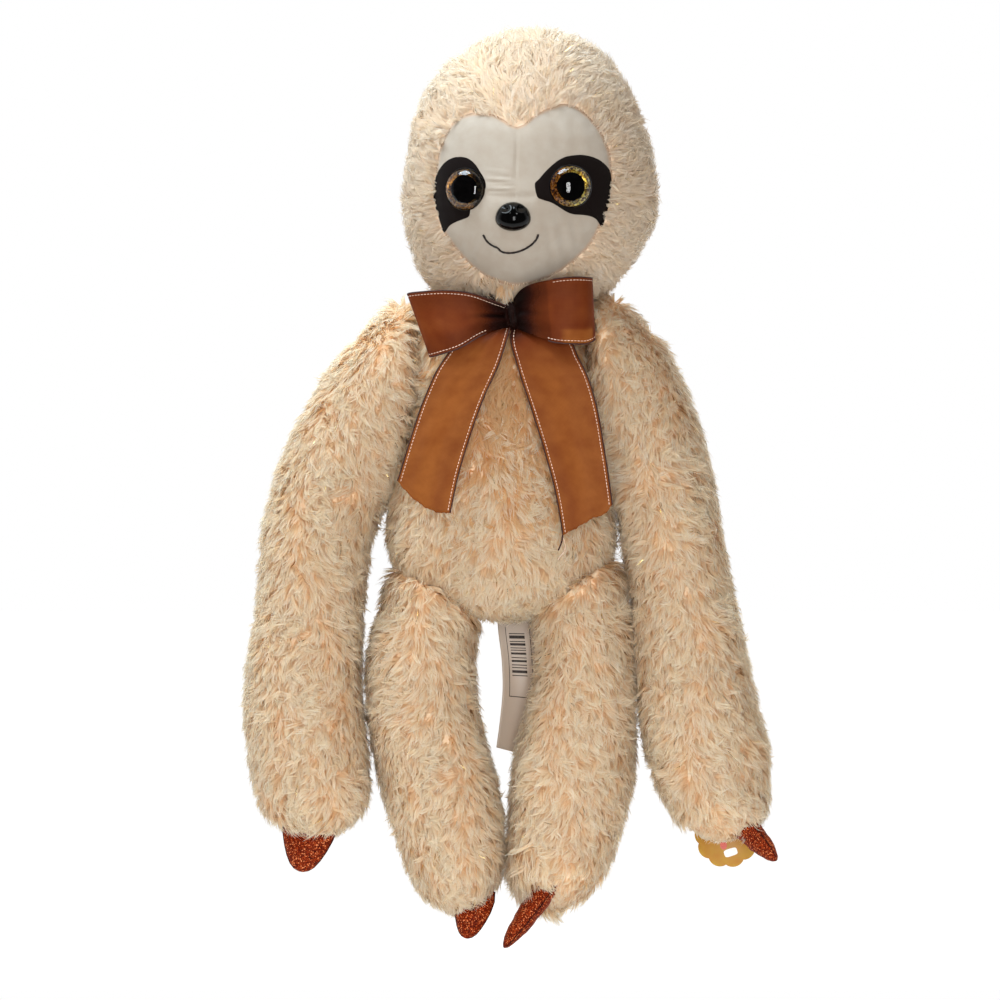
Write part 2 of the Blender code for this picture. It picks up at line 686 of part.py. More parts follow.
def build():
    clear_scene()
    body_ends = {"end_round": BODY_HALF_DEPTH, "upright": True}
    body = stuffed("torso", BODY_ROWS, rings=11, around=32, **body_ends)
    flatten_seat(body)

    head = stuffed("head", HEAD_ROWS, rings=12, around=36, end_round=HEAD_ROUND, upright=True,
                   shape_point=muzzled)
    panel = face_patch("face_panel", FACE_PANEL, PANEL_LIFT, PANEL_THICKNESS, "velour", 44, 6)
    patch_lift = PANEL_LIFT + PANEL_THICKNESS + GAP
    patches = {
        side: face_patch("eye_patch_" + side, outline, patch_lift, PATCH_THICKNESS,
                         "dark velour", 32, 3)
        for side, outline in (("left", PATCH_LEFT), ("right", PATCH_RIGHT))
    }
    head_pieces = [head, panel, *patches.values(), stitched_mouth()]
    for side, spot in EYES.items():
        lift = patch_lift + PATCH_THICKNESS + EYE_SEAT
        head_pieces += safety_piece("eye_" + side, spot, lift, eye_profile(), "eye plastic",
                                    head, [panel, patches[side]])
    nose = safety_piece("nose", NOSE, patch_lift, NOSE_PROFILE, "black plastic", head, [panel])
    shape_nose(nose[0])
    head_pieces += nose

    arm_ends = {"start_round": 20, "end_round": 22}
    leg_ends = {"start_round": 24, "end_round": 24}
    limbs = {
        "arm_left": (ARM_LEFT_ROWS, arm_ends, "hand_claw_left"),
        "arm_right": (ARM_RIGHT_ROWS, arm_ends, "hand_claw_right"),
        "leg_left": (LEG_LEFT_ROWS, leg_ends, "foot_claw_left"),
        "leg_right": (LEG_RIGHT_ROWS, leg_ends, "foot_claw_right"),
    }
    hips = [hip_cutter(), *lap_cutters()]
    moving = {}
    for name, (rows, ends, claw_name) in limbs.items():
        limb = stuffed(name, rows, around=24, rings=12, **ends)
        if name.startswith("arm"):
            cut(limb, shoulder_cutter(-1 if name.endswith("left") else 1))
        else:
            cut(limb, *hips)
        moving[name] = [limb, claw(claw_name, rows, ends)]

    neck_band()
    knot()
    ribbon("bow_loop_left", LOOP_LEFT_FRONT + LOOP_LEFT_BACK, 24, fold=RIBBON_FOLD)
    ribbon("bow_loop_right", LOOP_RIGHT_FRONT + LOOP_RIGHT_BACK, 24, fold=-RIBBON_FOLD)
    ribbon("bow_tail_left", TAIL_LEFT, 16, fold=RIBBON_FOLD)
    ribbon("bow_tail_right", TAIL_RIGHT, 16, fold=-RIBBON_FOLD)
    label = ribbon("care_label", LABEL, 12, LABEL_FOLD, "label satin", LABEL_THICKNESS)
    card, fastener = swing_tag(), tag_fastener()

    hold(moving["arm_left"], (BODY_X, 0, SHOULDER_Z))
    hold(moving["arm_right"] + [fastener], (BODY_X, 0, SHOULDER_Z))
    hold(moving["leg_left"], (BODY_X, 0, HIP_Z))
    hold(moving["leg_right"], (BODY_X, 0, HIP_Z))
    hold([label], LABEL_HINGE)
    hold([card], TAG_HINGE)
    hold(head_pieces, (0, 0, NECK_TOP))


if __name__ == "__main__":
    build()
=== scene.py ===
"""Makes the visible pieces of a long-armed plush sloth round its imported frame.

The frame gives every place and size in metres. X runs to the viewer's right, Y to the toy's
back and Z up. Left and right in names are the viewer's.
"""

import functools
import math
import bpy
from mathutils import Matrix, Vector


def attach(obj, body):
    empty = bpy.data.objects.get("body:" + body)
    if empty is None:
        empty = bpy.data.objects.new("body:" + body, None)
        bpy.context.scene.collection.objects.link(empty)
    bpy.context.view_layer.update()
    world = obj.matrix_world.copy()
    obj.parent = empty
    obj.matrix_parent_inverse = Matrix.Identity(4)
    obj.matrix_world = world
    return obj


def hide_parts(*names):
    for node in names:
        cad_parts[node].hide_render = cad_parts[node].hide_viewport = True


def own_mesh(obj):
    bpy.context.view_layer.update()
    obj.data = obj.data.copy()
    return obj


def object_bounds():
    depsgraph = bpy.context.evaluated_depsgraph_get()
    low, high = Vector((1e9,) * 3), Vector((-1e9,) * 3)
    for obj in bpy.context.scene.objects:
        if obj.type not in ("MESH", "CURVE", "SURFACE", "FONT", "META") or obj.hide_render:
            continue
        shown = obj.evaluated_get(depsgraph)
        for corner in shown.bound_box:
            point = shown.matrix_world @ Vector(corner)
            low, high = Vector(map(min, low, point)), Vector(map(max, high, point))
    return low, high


bl_info = {
    "name": "Plush Sloth",
    "version": (1, 0, 0),
    "blender": (4, 5, 0),
    "location": "View3D > Sidebar > Plush Sloth",
    "description": "Dresses a plush sloth in fur, with its face, claws, bow, labels and stage",
    "category": "Add Mesh",
}

import bmesh
import bpy
import numpy as np
from bpy.props import FloatProperty, FloatVectorProperty, PointerProperty
from mathutils import Matrix, Vector
from mathutils.bvhtree import BVHTree

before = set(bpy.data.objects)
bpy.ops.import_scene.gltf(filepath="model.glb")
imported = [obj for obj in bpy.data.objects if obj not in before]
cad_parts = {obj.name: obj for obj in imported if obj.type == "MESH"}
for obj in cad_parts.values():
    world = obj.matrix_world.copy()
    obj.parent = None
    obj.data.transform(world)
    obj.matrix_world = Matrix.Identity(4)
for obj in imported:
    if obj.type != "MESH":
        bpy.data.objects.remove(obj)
CAD_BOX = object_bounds()
MM = 0.001


def hexed(code):
    """A linear colour with alpha 1 from an sRGB hex value."""
    parts = [int(code[i:i + 2], 16) / 255 for i in (1, 3, 5)]
    linear = (p / 12.92 if p < 0.04045 else ((p + 0.055) / 1.055) ** 2.4 for p in parts)
    return (*linear, 1.0)


# The outline of the face panel, x and z in millimetres, with the notch of its heart at the top.
FACE_OUTLINE = [
    (3.3, 113), (-13, 121), (-33, 120), (-45, 107), (-50, 88), (-50.5, 65), (-46.5, 47),
    (-36, 31), (-19, 15.5), (2, 9), (24, 14), (42, 26), (54, 40), (62, 60), (65.5, 82),
    (62, 102), (52, 118), (36, 128), (17, 122),
]
FACE_CENTRE = (8.0, 66.0)

LIMBS = ("arm_left", "arm_right", "leg_left", "leg_right")
FURRY = ("torso", "head") + LIMBS


class FurSettings(bpy.types.PropertyGroup):
    """Sizes and colours of the long pile."""

    lock_spacing: FloatProperty(
        name="Lock spacing", description="How far apart the locks of fur stand",
        default=2.98 * MM, unit="LENGTH")
    strand_width: FloatProperty(
        name="Strand width", description="The width of one strand at its root",
        default=0.7 * MM, unit="LENGTH")
    tinsel_width: FloatProperty(
        name="Tinsel width", description="The width of a strip of tinsel", default=0.32 * MM,
        unit="LENGTH")
    tip: FloatVectorProperty(
        name="Tip", description="Colour of the pile's tips", size=4, subtype="COLOR",
        default=hexed("#FFFCF0"))
    middle: FloatVectorProperty(
        name="Middle", description="Colour half way along the pile", size=4, subtype="COLOR",
        default=hexed("#FDE9CA"))
    # The roots are darker and warmer than the tips, partly as painted shade deep in the pile.
    root: FloatVectorProperty(
        name="Root", description="Colour of the pile at the cloth", size=4, subtype="COLOR",
        default=hexed("#F9DDB7"))
    pale: FloatVectorProperty(
        name="Pale", description="Colour that the head's pile comes close to", size=4,
        subtype="COLOR", default=hexed("#FCF5EB"))


class FaceSettings(bpy.types.PropertyGroup):
    """Colours of the face's cloths and the sizes of its plastic pieces."""

    velour: FloatVectorProperty(
        name="Velour", description="Colour of the face panel", size=4, subtype="COLOR",
        default=hexed("#AEA59A"))
    patch: FloatVectorProperty(
        name="Eye patch", description="Colour of the dark velour round the eyes", size=4,
        subtype="COLOR", default=hexed("#150F0E"))
    eye: FloatProperty(
        name="Eye", description="Diameter of a safety eye", default=28 * MM, unit="LENGTH")
    pupil: FloatProperty(
        name="Pupil", description="Diameter of a pupil", default=16.8 * MM, unit="LENGTH")
    nose: FloatVectorProperty(
        name="Nose", description="Width, depth and height of the nose", size=3, unit="LENGTH",
        default=(23.6 * MM, 20 * MM, 17.7 * MM))


class RibbonSettings(bpy.types.PropertyGroup):
    """The bow's ribbon."""

    width: FloatProperty(
        name="Width", description="Width of the ribbon as woven", default=40 * MM, unit="LENGTH")
    colour: FloatVectorProperty(
        name="Colour", description="Colour of the organza", size=4, subtype="COLOR",
        default=hexed("#9C5D29"))
    edge: FloatVectorProperty(
        name="Edge", description="Colour of the wired edge", size=4, subtype="COLOR",
        default=hexed("#4A1C0E"))


class ClawSettings(bpy.types.PropertyGroup):
    """The glitter cloth of the claws."""

    cloth: FloatVectorProperty(
        name="Cloth", description="Colour of the cloth under the glitter", size=4,
        subtype="COLOR", default=hexed("#641A04"))
    flake: FloatProperty(
        name="Flake", description="Width of one flake of glitter", default=0.6 * MM,
        unit="LENGTH")


class LabelSettings(bpy.types.PropertyGroup):
    """The care label and the card tag."""

    satin: FloatVectorProperty(
        name="Satin", description="Colour of the care label", size=4, subtype="COLOR",
        default=hexed("#BBADA0"))
    card: FloatVectorProperty(
        name="Card", description="Colour of the card tag", size=4, subtype="COLOR",
        default=hexed("#B8881F"))
    tag_radius: FloatProperty(
        name="Tag radius", description="Radius of the card between its lobes",
        default=19.2 * MM, unit="LENGTH")


class StageSettings(bpy.types.PropertyGroup):
    """The camera, the lamps and the floor."""

    lens: FloatProperty(
        name="Lens", description="Focal length of the camera", default=1000.0, unit="CAMERA")
    photo_width: FloatProperty(
        name="Photo width", description="Width of the view at the toy", default=0.655,
        unit="LENGTH")
    floor_gap: FloatProperty(
        name="Floor gap", description="How far below the lowest claw the floor lies",
        default=0.02, unit="LENGTH")


def deselect():
    bpy.ops.object.select_all(action="DESELECT")


def active(piece):
    """Makes a piece the only selected one."""
    deselect()
    piece.select_set(True)
    bpy.context.view_layer.objects.active = piece


def edited(piece, *steps):
    """Runs edit-mode operators on the whole of a piece, each given with its settings."""
    active(piece)
    bpy.ops.object.mode_set(mode="EDIT")
    for operator, settings in steps:
        bpy.ops.mesh.select_all(action="SELECT")
        operator(**settings)
    bpy.ops.object.mode_set(mode="OBJECT")


def apply_modifier(piece, kind, **settings):
    """Adds a modifier to a piece and applies it."""
    active(piece)
    modifier = piece.modifiers.new(kind.lower(), kind)
    for name, value in settings.items():
        setattr(modifier, name, value)
    bpy.ops.object.modifier_apply(modifier=modifier.name)


def added(name, data, *materials):
    """A new object in the scene that holds this data, with its materials."""
    for material in materials:
        data.materials.append(material)
    made = bpy.data.objects.new(name, data)
    bpy.context.scene.collection.objects.link(made)
    return made


def add_node(tree, kind, links=(), stops=(), **settings):
    """Adds a node with its settings and links, and on a colour ramp stops of (place, colour).

    A stop's colour is an sRGB hex value or a linear colour.
    """
    node = tree.nodes.new(kind)
    for name, value in settings.items():
        if name in node.inputs:
            node.inputs[name].default_value = value
        else:
            setattr(node, name, value)
    for socket, source in links:
        tree.links.new(source, node.inputs[socket])
    if stops:
        elements = node.color_ramp.elements
        while len(elements) < len(stops):
            elements.new(0.5)
        for element, (place, colour) in zip(elements, stops):
            element.position = place
            element.color = hexed(colour) if isinstance(colour, str) else colour
    return node


# A Mix node that multiplies the colours on its inputs 6 and 7.
MULTIPLY = {"data_type": "RGBA", "blend_type": "MULTIPLY", "Factor": 1.0}


def new_material(name, **sockets):
    """A material with a Principled shader, and its node tree and shader."""
    made = bpy.data.materials.new(name)
    made.use_nodes = True
    shader = made.node_tree.nodes["Principled BSDF"]
    for socket, value in sockets.items():
        shader.inputs[socket.replace("_", " ")].default_value = value
    return made, made.node_tree, shader


def two_toned(name, dark, light, pattern, ends=(0.3, 0.7), kind="ShaderNodeTexNoise", bump=None,
              **sockets):
    """A material that a fine pattern takes from a dark tone to a light one, with any bump."""
    made, tree, shader = new_material(name, **sockets)
    place = add_node(tree, "ShaderNodeTexCoord").outputs["Object"]
    spread = add_node(tree, kind, [("Vector", place)], **pattern).outputs["Fac"]
    tone = add_node(tree, "ShaderNodeValToRGB", [("Fac", spread)], list(zip(ends, (dark, light))))
    tree.links.new(tone.outputs["Color"], shader.inputs["Base Color"])
    if bump:
        relief = add_node(tree, "ShaderNodeBump", [("Height", spread)], Strength=bump[0],
                          Distance=bump[1])
        tree.links.new(relief.outputs["Normal"], shader.inputs["Normal"])
    return made


def mesh_piece(name, points, polygons, material, uv=None, normals=None):
    """A smooth piece from arrays of points and of polygons that all have as many corners."""
    points, polygons = np.asarray(points, np.float32), np.asarray(polygons, np.int32)
    mesh = bpy.data.meshes.new(name)
    mesh.vertices.add(len(points))
    mesh.vertices.foreach_set("co", points.ravel())
    count, corners = polygons.shape
    mesh.loops.add(count * corners)
    mesh.loops.foreach_set("vertex_index", polygons.ravel())
    mesh.polygons.add(count)
    mesh.polygons.foreach_set("loop_start", np.arange(0, count * corners, corners, dtype=np.int32))
    mesh.update(calc_edges=True)
    if uv is not None:
        layer = mesh.uv_layers.new(name="OFBake")
        layer.uv.foreach_set("vector", np.asarray(uv, np.float32)[polygons.ravel()].ravel())
    mesh.shade_smooth()
    if normals is not None:
        kept = mesh.attributes.new("custom_normal", "FLOAT_VECTOR", "POINT")
        kept.data.foreach_set("vector", np.asarray(normals, np.float32).ravel())
    return added(name, mesh, material)


LIGHT_THROUGH_FIBRE = 0.6
# Painted shade: the brown that light through the ribbon gives the pile between its tails,
# multiplied into the pile's colour.
PAINTED_RIBBON_SHADE = "#F6E0C2"
# The tints of single locks. The pile's UV map keeps each lock's tint across it: the plain ones
# # fill this share of it from the left, and the same ones darkened with the ribbon's painted brown
# # shade fill as much of it from the right.
LOCK_TINTS = ("#FFFFFF", "#FBF5EA", "#FFFCF6", "#F9F0E2", "#FFFEFC", "#FBF3EA", "#FFFDF9")
TINT_SHARE = 0.47


def fur_cloth(name, dark, light):
    """The knitted backing of the pile: matte polyester, seen only as a warm tone between locks."""
    return two_toned(name, dark, light, {"Scale": 400.0, "Detail": 4.0}, Roughness=0.95,
                     Specular_IOR_Level=0.1)


def fur_pile(name, settings, paler):
    """Long polyester pile, paler towards its tips: its warmer roots are partly dyed so and partly
    painted shade deep in the pile. Light passes through it, so its rims glow.
    """
    made, tree, shader = new_material(name, Roughness=0.62, Specular_IOR_Level=0.2,
                                      Sheen_Weight=0.3, Sheen_Roughness=0.4)
    uv = add_node(tree, "ShaderNodeUVMap", uv_map="OFBake").outputs["UV"]
    split = add_node(tree, "ShaderNodeSeparateXYZ", [("Vector", uv)])
    stops = [
        (place, (*Vector(colour[:3]).lerp(Vector(settings.pale[:3]), paler), 1.0))
        for place, colour in ((0.0, settings.root), (0.42, settings.middle), (0.85, settings.tip))]
    length = add_node(tree, "ShaderNodeValToRGB", [("Fac", split.outputs["Y"])], stops)
    # Painted shade: the tints on the right of the UV map carry the ribbon's brown.
    brown = hexed(PAINTED_RIBBON_SHADE)
    plain, under = [], []
    for k, tint in enumerate(map(hexed, LOCK_TINTS)):
        share = k / (len(LOCK_TINTS) - 1)
        plain.append((TINT_SHARE * share, tint))
        under.append((1 - TINT_SHARE * (1 - share), tuple(a * b for a, b in zip(tint, brown))))
    tint = add_node(tree, "ShaderNodeValToRGB", [("Fac", split.outputs["X"])], plain + under)
    colour = add_node(tree, "ShaderNodeMix", [(6, length.outputs["Color"]),
                                              (7, tint.outputs["Color"])], **MULTIPLY).outputs[2]
    tree.links.new(colour, shader.inputs["Base Color"])
    through = add_node(tree, "ShaderNodeBsdfTranslucent", [("Color", colour)])
    fibre = add_node(tree, "ShaderNodeMixShader", [(1, shader.outputs[0]),
                                                   (2, through.outputs[0])],
                     Fac=LIGHT_THROUGH_FIBRE)
    tree.links.new(fibre.outputs[0], tree.nodes["Material Output"].inputs["Surface"])
    return made


def tinsel_film():
    """Slit metallised film: narrow flat strips that flash gold where they face the light."""
    made, tree, shader = new_material("Gold tinsel film", Roughness=0.22, Metallic=0.9)
    uv = add_node(tree, "ShaderNodeUVMap", uv_map="OFBake").outputs["UV"]
    split = add_node(tree, "ShaderNodeSeparateXYZ", [("Vector", uv)])
    gold = add_node(tree, "ShaderNodeValToRGB", [("Fac", split.outputs["X"])], [
        (0.0, "#E9C26A"), (0.5, "#F6DFA0"), (1.0, "#D9A850")])
    tree.links.new(gold.outputs["Color"], shader.inputs["Base Color"])
    return made


def chin_locks():
    """The tuft under the chin that hangs over the top of the knot, longest at its left."""
    random = np.random.default_rng(7)
    count = 26
    x = random.uniform(-8.4, -0.8, count)
    places = np.stack([x, random.uniform(-52, -48.5, count),
                       random.uniform(3.5, 9, count) + 0.1 * x], axis=1) * MM
    outward = unit(np.tile([0.0, -0.95, -0.2], (count, 1)))
    lay = unit(np.stack([random.normal(0.08, 0.3, count), np.full(count, -0.2),
                         np.full(count, -1.0)], axis=1))
    share = random.uniform(0.25, 0.6, count) - 0.02 * x * (x < -4)
    tint = TINT_SHARE * random.random(count)
    # Painted shade: every other lock takes the ribbon's brown tints.
    tint[::2] = 1 - tint[::2]
    return places, outward, lay, share, tint, np.zeros(count)


SKIN_VOXEL = 3.5 * MM


def skin_of(node):
    """The sewn skin of a stuffed part: its solid, joined up, evened out and smoothed."""
    skin = added(node + "_skin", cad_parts[node].data.copy())
    edited(skin, (bpy.ops.mesh.remove_doubles, {"threshold": 0.01 * MM}))
    apply_modifier(skin, "REMESH", mode="VOXEL", voxel_size=SKIN_VOXEL)
    apply_modifier(skin, "SMOOTH", factor=0.5, iterations=6)
    bpy.ops.object.shade_smooth()
    return skin


def drift(points, wavelength, seed):
    """Three smooth numbers for each place, each about -1 to 1, from a few sine waves."""
    random = np.random.default_rng(seed)
    waves = random.normal(size=(12, 3))
    waves *= 2 * math.pi / wavelength / np.linalg.norm(waves, axis=1)[:, None]
    sines = np.sin(points @ waves.T + random.uniform(0, 2 * math.pi, 12))
    return sines.reshape(-1, 3, 4).sum(axis=2) / 2


def unit(rows):
    return rows / np.maximum(np.linalg.norm(rows, axis=1), 1e-9)[:, None]


def spread_places(skin, spacing, random):
    """Places spread evenly over a skin, and its outward normals there."""
    mesh = skin.data
    mesh.calc_loop_triangles()
    points = np.empty(len(mesh.vertices) * 3, np.float32)
    mesh.vertices.foreach_get("co", points)
    normals = np.empty(len(mesh.vertices) * 3, np.float32)
    mesh.vertices.foreach_get("normal", normals)
    faces = np.empty(len(mesh.loop_triangles) * 3, np.int32)
    mesh.loop_triangles.foreach_get("vertices", faces)
    points, normals, faces = points.reshape(-1, 3), normals.reshape(-1, 3), faces.reshape(-1, 3)
    a, b, c = (points[faces[:, i]] for i in range(3))
    total = np.cumsum(np.linalg.norm(np.cross(b - a, c - a), axis=1) / 2)
    count = int(total[-1] / spacing**2)
    at = (np.arange(count) + random.random(count)) / count * total[-1]
    pick = np.minimum(np.searchsorted(total, at), len(faces) - 1)
    u, v = random.random((2, count, 1))
    u, v = np.where(u + v > 1, 1 - u, u), np.where(u + v > 1, 1 - v, v)
    shares = (1 - u - v, u, v)
    places = sum(share * points[faces[pick, i]] for i, share in enumerate(shares))
    outward = sum(share * normals[faces[pick, i]] for i, share in enumerate(shares))
    return places.astype(float), unit(outward.astype(float))


def smooth_loop(points, count):
    """Points spread along a smooth closed curve through these points."""
    ring = np.array(points[-2:] + points + points[:3], float)
    at = np.linspace(0, len(points), count, endpoint=False)
    low = at.astype(int)
    t = (at - low)[:, None]
    p0, p1, p2, p3 = (ring[low + 1 + k] for k in range(4))
    return 0.5 * (2 * p1 + (p2 - p0) * t + (2 * p0 - 5 * p1 + 4 * p2 - p3) * t**2
                  + (3 * p1 - p0 - 3 * p2 + p3) * t**3)


def inside(outline, x, z):
    """Which of the places x, z lie inside a closed outline."""
    found = np.zeros(len(x), bool)
    for (x1, z1), (x2, z2) in zip(outline, np.roll(outline, -1, axis=0)):
        crosses = (z1 > z) != (z2 > z)
        reach = (x2 - x1) * (z - z1) / np.where(z2 == z1, 1e-12, z2 - z1) + x1
        found ^= crosses & (x < reach)
    return found


def lay_of(body, places):
    """Which way the pile lies at each place, before the skin turns it along itself."""
    x, y, z = places.T / MM
    down = np.zeros_like(places)
    down[:, 2] = -1.0
    if body == "head":
        away = unit(np.stack([x - FACE_CENTRE[0], 0 * x, z - FACE_CENTRE[1]], axis=1))
        away[:, 1] = 0.35
        behind = np.clip((y - 5) / 40, 0, 1)[:, None]
        down = (1 - behind) * away + behind * np.array([0, 0.6, -1.0])
    elif body == "torso":
        down[:, 0] += 0.35 * (x + 7) / 60
    else:
        middle = {"arm_left": -120, "arm_right": 112, "leg_left": -50, "leg_right": 40}[body]
        down[:, 0] += 0.4 * (x - middle) / 35
    return down


def free_room(body, places, outward):
    """How far the nearest other body lies out from each place, at most 30 mm."""
    others = []
    for name in FURRY:
        if name != body:
            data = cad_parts[name].data
            others.append(BVHTree.FromPolygons(
                [v.co for v in data.vertices], [tuple(p.vertices) for p in data.polygons]))
    room = np.full(len(places), 30.0)
    for i, (place, way) in enumerate(zip(places, outward)):
        for tree in others:
            hit = tree.ray_cast(Vector(place), Vector(way), 0.03)[3]
            if hit is not None:
                room[i] = min(room[i], hit / MM)
    return room


# The pile of each body: how far its strands lean along the skin and how far their tips stand
# from it, in millimetres, how much paler than the rest it is, and its strands of tinsel.
PILE = {
    "torso": (12.5, 5.6, 0.0, 420),
    "head": (11.5, 5.4, 0.85, 700),
    "arm_left": (12.5, 5.8, 0.0, 380),
    "arm_right": (12.5, 5.8, 0.0, 380),
    "leg_left": (12.5, 5.8, 0.0, 300),
    "leg_right": (12.5, 5.8, 0.0, 300),
}
# How much higher the crown's pile stands, in millimetres.
CROWN_RISE = 3.2
# How wide the seam of the face presses the pile round it, in millimetres.
SEAM_REACH = 9.0
# The head's skin is bare under the face panel, up to this share of the panel's outline.
BARE_SHARE = 0.965
STRANDS_IN_LOCK = 8
LOCK_RADIUS = 2.3 * MM
STRAND_STEPS = np.array([0.0, 0.36, 0.7, 1.0])
STRAND_TAPER = np.array([0.9, 1.0, 0.8, 0.0])
MOST_TRIANGLES = 190_000


def pile_locks(body, skin, spacing, random):
    """Where the locks of a body's fur grow: place, outward, lay, length share, tint and rise."""
    places, outward = spread_places(skin, spacing, random)
    if body == "head":
        middle = np.array(FACE_CENTRE)
        outline = middle + (smooth_loop(FACE_OUTLINE, 120) - middle) * BARE_SHARE
        bare = inside(outline, places[:, 0] / MM, places[:, 2] / MM) & (places[:, 1] < 0)
        places, outward = places[~bare], outward[~bare]
    lay = lay_of(body, places)
    lay += 0.5 * drift(places, 46 * MM, 3) + 0.3 * drift(places, 15 * MM, 4)
    lay -= outward * (lay * outward).sum(axis=1)[:, None]
    lay = unit(lay)
    side = np.cross(outward, lay)
    turn = random.normal(0, 0.5, len(places))[:, None]
    lay = lay * np.cos(turn) + side * np.sin(turn)
    room = free_room(body, places, outward)
    share = np.minimum(random.uniform(0.8, 1.12, len(places)), np.maximum(room / 16, 0.6))
    rise = np.clip((outward[:, 2] - 0.45) / 0.4, 0, 1) * (body == "head")
    if body == "head":
        edge = smooth_loop(FACE_OUTLINE, 240)
        flat = places[:, [0, 2]] / MM
        near = np.min(np.linalg.norm(flat[:, None, :] - edge[None, ::4, :], axis=2), axis=1)
        seam = (places[:, 1] < 0) & (near < SEAM_REACH)
        share[seam] *= 0.7 + 0.3 * near[seam] / SEAM_REACH
        rise[seam] = np.maximum(rise[seam], 0.9 * (1 - near[seam] / SEAM_REACH))
    x, y, z = places.T / MM
    # The pile is short over the right hand's claw and tag and over the right foot's claw, and
    # long on the inner side of that foot.
    if body == "arm_right":
        share[(z < -335) & (x < 150)] *= 0.55
    if body == "leg_right":
        share[(z < -355) & (outward[:, 0] < -0.25)] *= 1.5
        share[(z < -368) & (y < 0) & (x > 12)] *= 0.45
    tint = TINT_SHARE * random.random(len(places))
    # Painted shade: a random share of the locks that the tails cover or frame, more of them higher
    # up, take the ribbon's brown tints.
    if body == "torso":
        under = np.clip((z + 165) / 105, 0, 1) * between(x, -42, 44, 36) * (y < 0)
        tint[random.random(len(places)) < under] += 1 - TINT_SHARE
    return places, outward, lay, share, tint, rise


def grow(body, locks, width, random, strands=STRANDS_IN_LOCK):
    """The strands of the locks: points, faces, places on the pile's UV map and soft normals."""
    places, outward, lay, share, tint, rise = locks
    lean, stand = PILE[body][:2]
    each = np.repeat(np.arange(len(places)), strands)
    count = len(each)
    t = STRAND_STEPS[None, :, None]
    out, along = outward[each][:, None, :], lay[each][:, None, :]
    across = np.cross(outward, lay)[each][:, None, :]
    size = (share[each] * random.uniform(0.85, 1.12, count))[:, None, None] * MM
    spin, reach = random.uniform(0, 2 * math.pi, count), np.sqrt(random.random(count))
    sideways = (np.cos(spin) * reach * LOCK_RADIUS)[:, None, None] * across
    forwards = (np.sin(spin) * reach * LOCK_RADIUS)[:, None, None] * along
    wave = random.uniform(0, 2 * math.pi, len(places))[each][:, None, None]
    swing = random.uniform(0.6, 1.7, len(places))[each][:, None, None]
    rise = CROWN_RISE * rise[each][:, None, None]
    line = places[each][:, None, :] + size * ((stand + rise) * (1 - (1 - t) ** 1.7) * out)
    line = line + size * (lean - rise) * t**1.2 * along
    line = line + (sideways + forwards) * (1 - 0.3 * t**1.1)
    line = line + size * swing * (across * np.sin(wave + 5.6 * t) * t)
    line = line + size * 0.5 * swing * (out * np.sin(2 * wave + 6.0 * t) * t)
    line = line + random.normal(0, 0.8 * MM, (count, 1, 3)) * t**1.5
    tangent = np.gradient(line, axis=1)
    tangent /= np.maximum(np.linalg.norm(tangent, axis=2), 1e-9)[:, :, None]
    twist = random.normal(0, 0.6, count)[:, None, None]
    flat = np.cross(tangent, out * np.cos(twist) + across * np.sin(twist))
    flat /= np.maximum(np.linalg.norm(flat, axis=2), 1e-9)[:, :, None]
    half = flat * (0.5 * width * STRAND_TAPER)[None, :, None]
    half = half * random.uniform(0.75, 1.25, count)[:, None, None]
    soft = out - 0.5 * (out * tangent).sum(axis=2)[:, :, None] * tangent
    soft = soft + random.normal(0, 0.06, (count, 1, 3))
    soft /= np.linalg.norm(soft, axis=2)[:, :, None]
    points = np.concatenate([(line - half)[:, :-1], (line + half)[:, :-1], line[:, -1:]], axis=1)
    normals = np.concatenate([soft[:, :-1], soft[:, :-1], soft[:, -1:]], axis=1)
    steps, per = len(STRAND_STEPS), points.shape[1]
    faces = []
    for k in range(steps - 2):
        a, b = k, k + steps - 1
        faces += [(a, b, b + 1), (a, b + 1, a + 1)]
    faces.append((steps - 2, 2 * steps - 3, 2 * steps - 2))
    faces = np.array(faces)[None] + (np.arange(count) * per)[:, None, None]
    v = np.concatenate([STRAND_STEPS[:-1], STRAND_STEPS[:-1], STRAND_STEPS[-1:]])
    u = np.clip(tint[each] + random.uniform(-0.02, 0.02, count), 0.002, 0.998)
    uv = np.stack([np.broadcast_to(u[:, None], (count, per)),
                   np.broadcast_to(0.02 + 0.96 * v, (count, per))], axis=2)
    return points.reshape(-1, 3), faces.reshape(-1, 3), uv.reshape(-1, 2), normals.reshape(-1, 3)


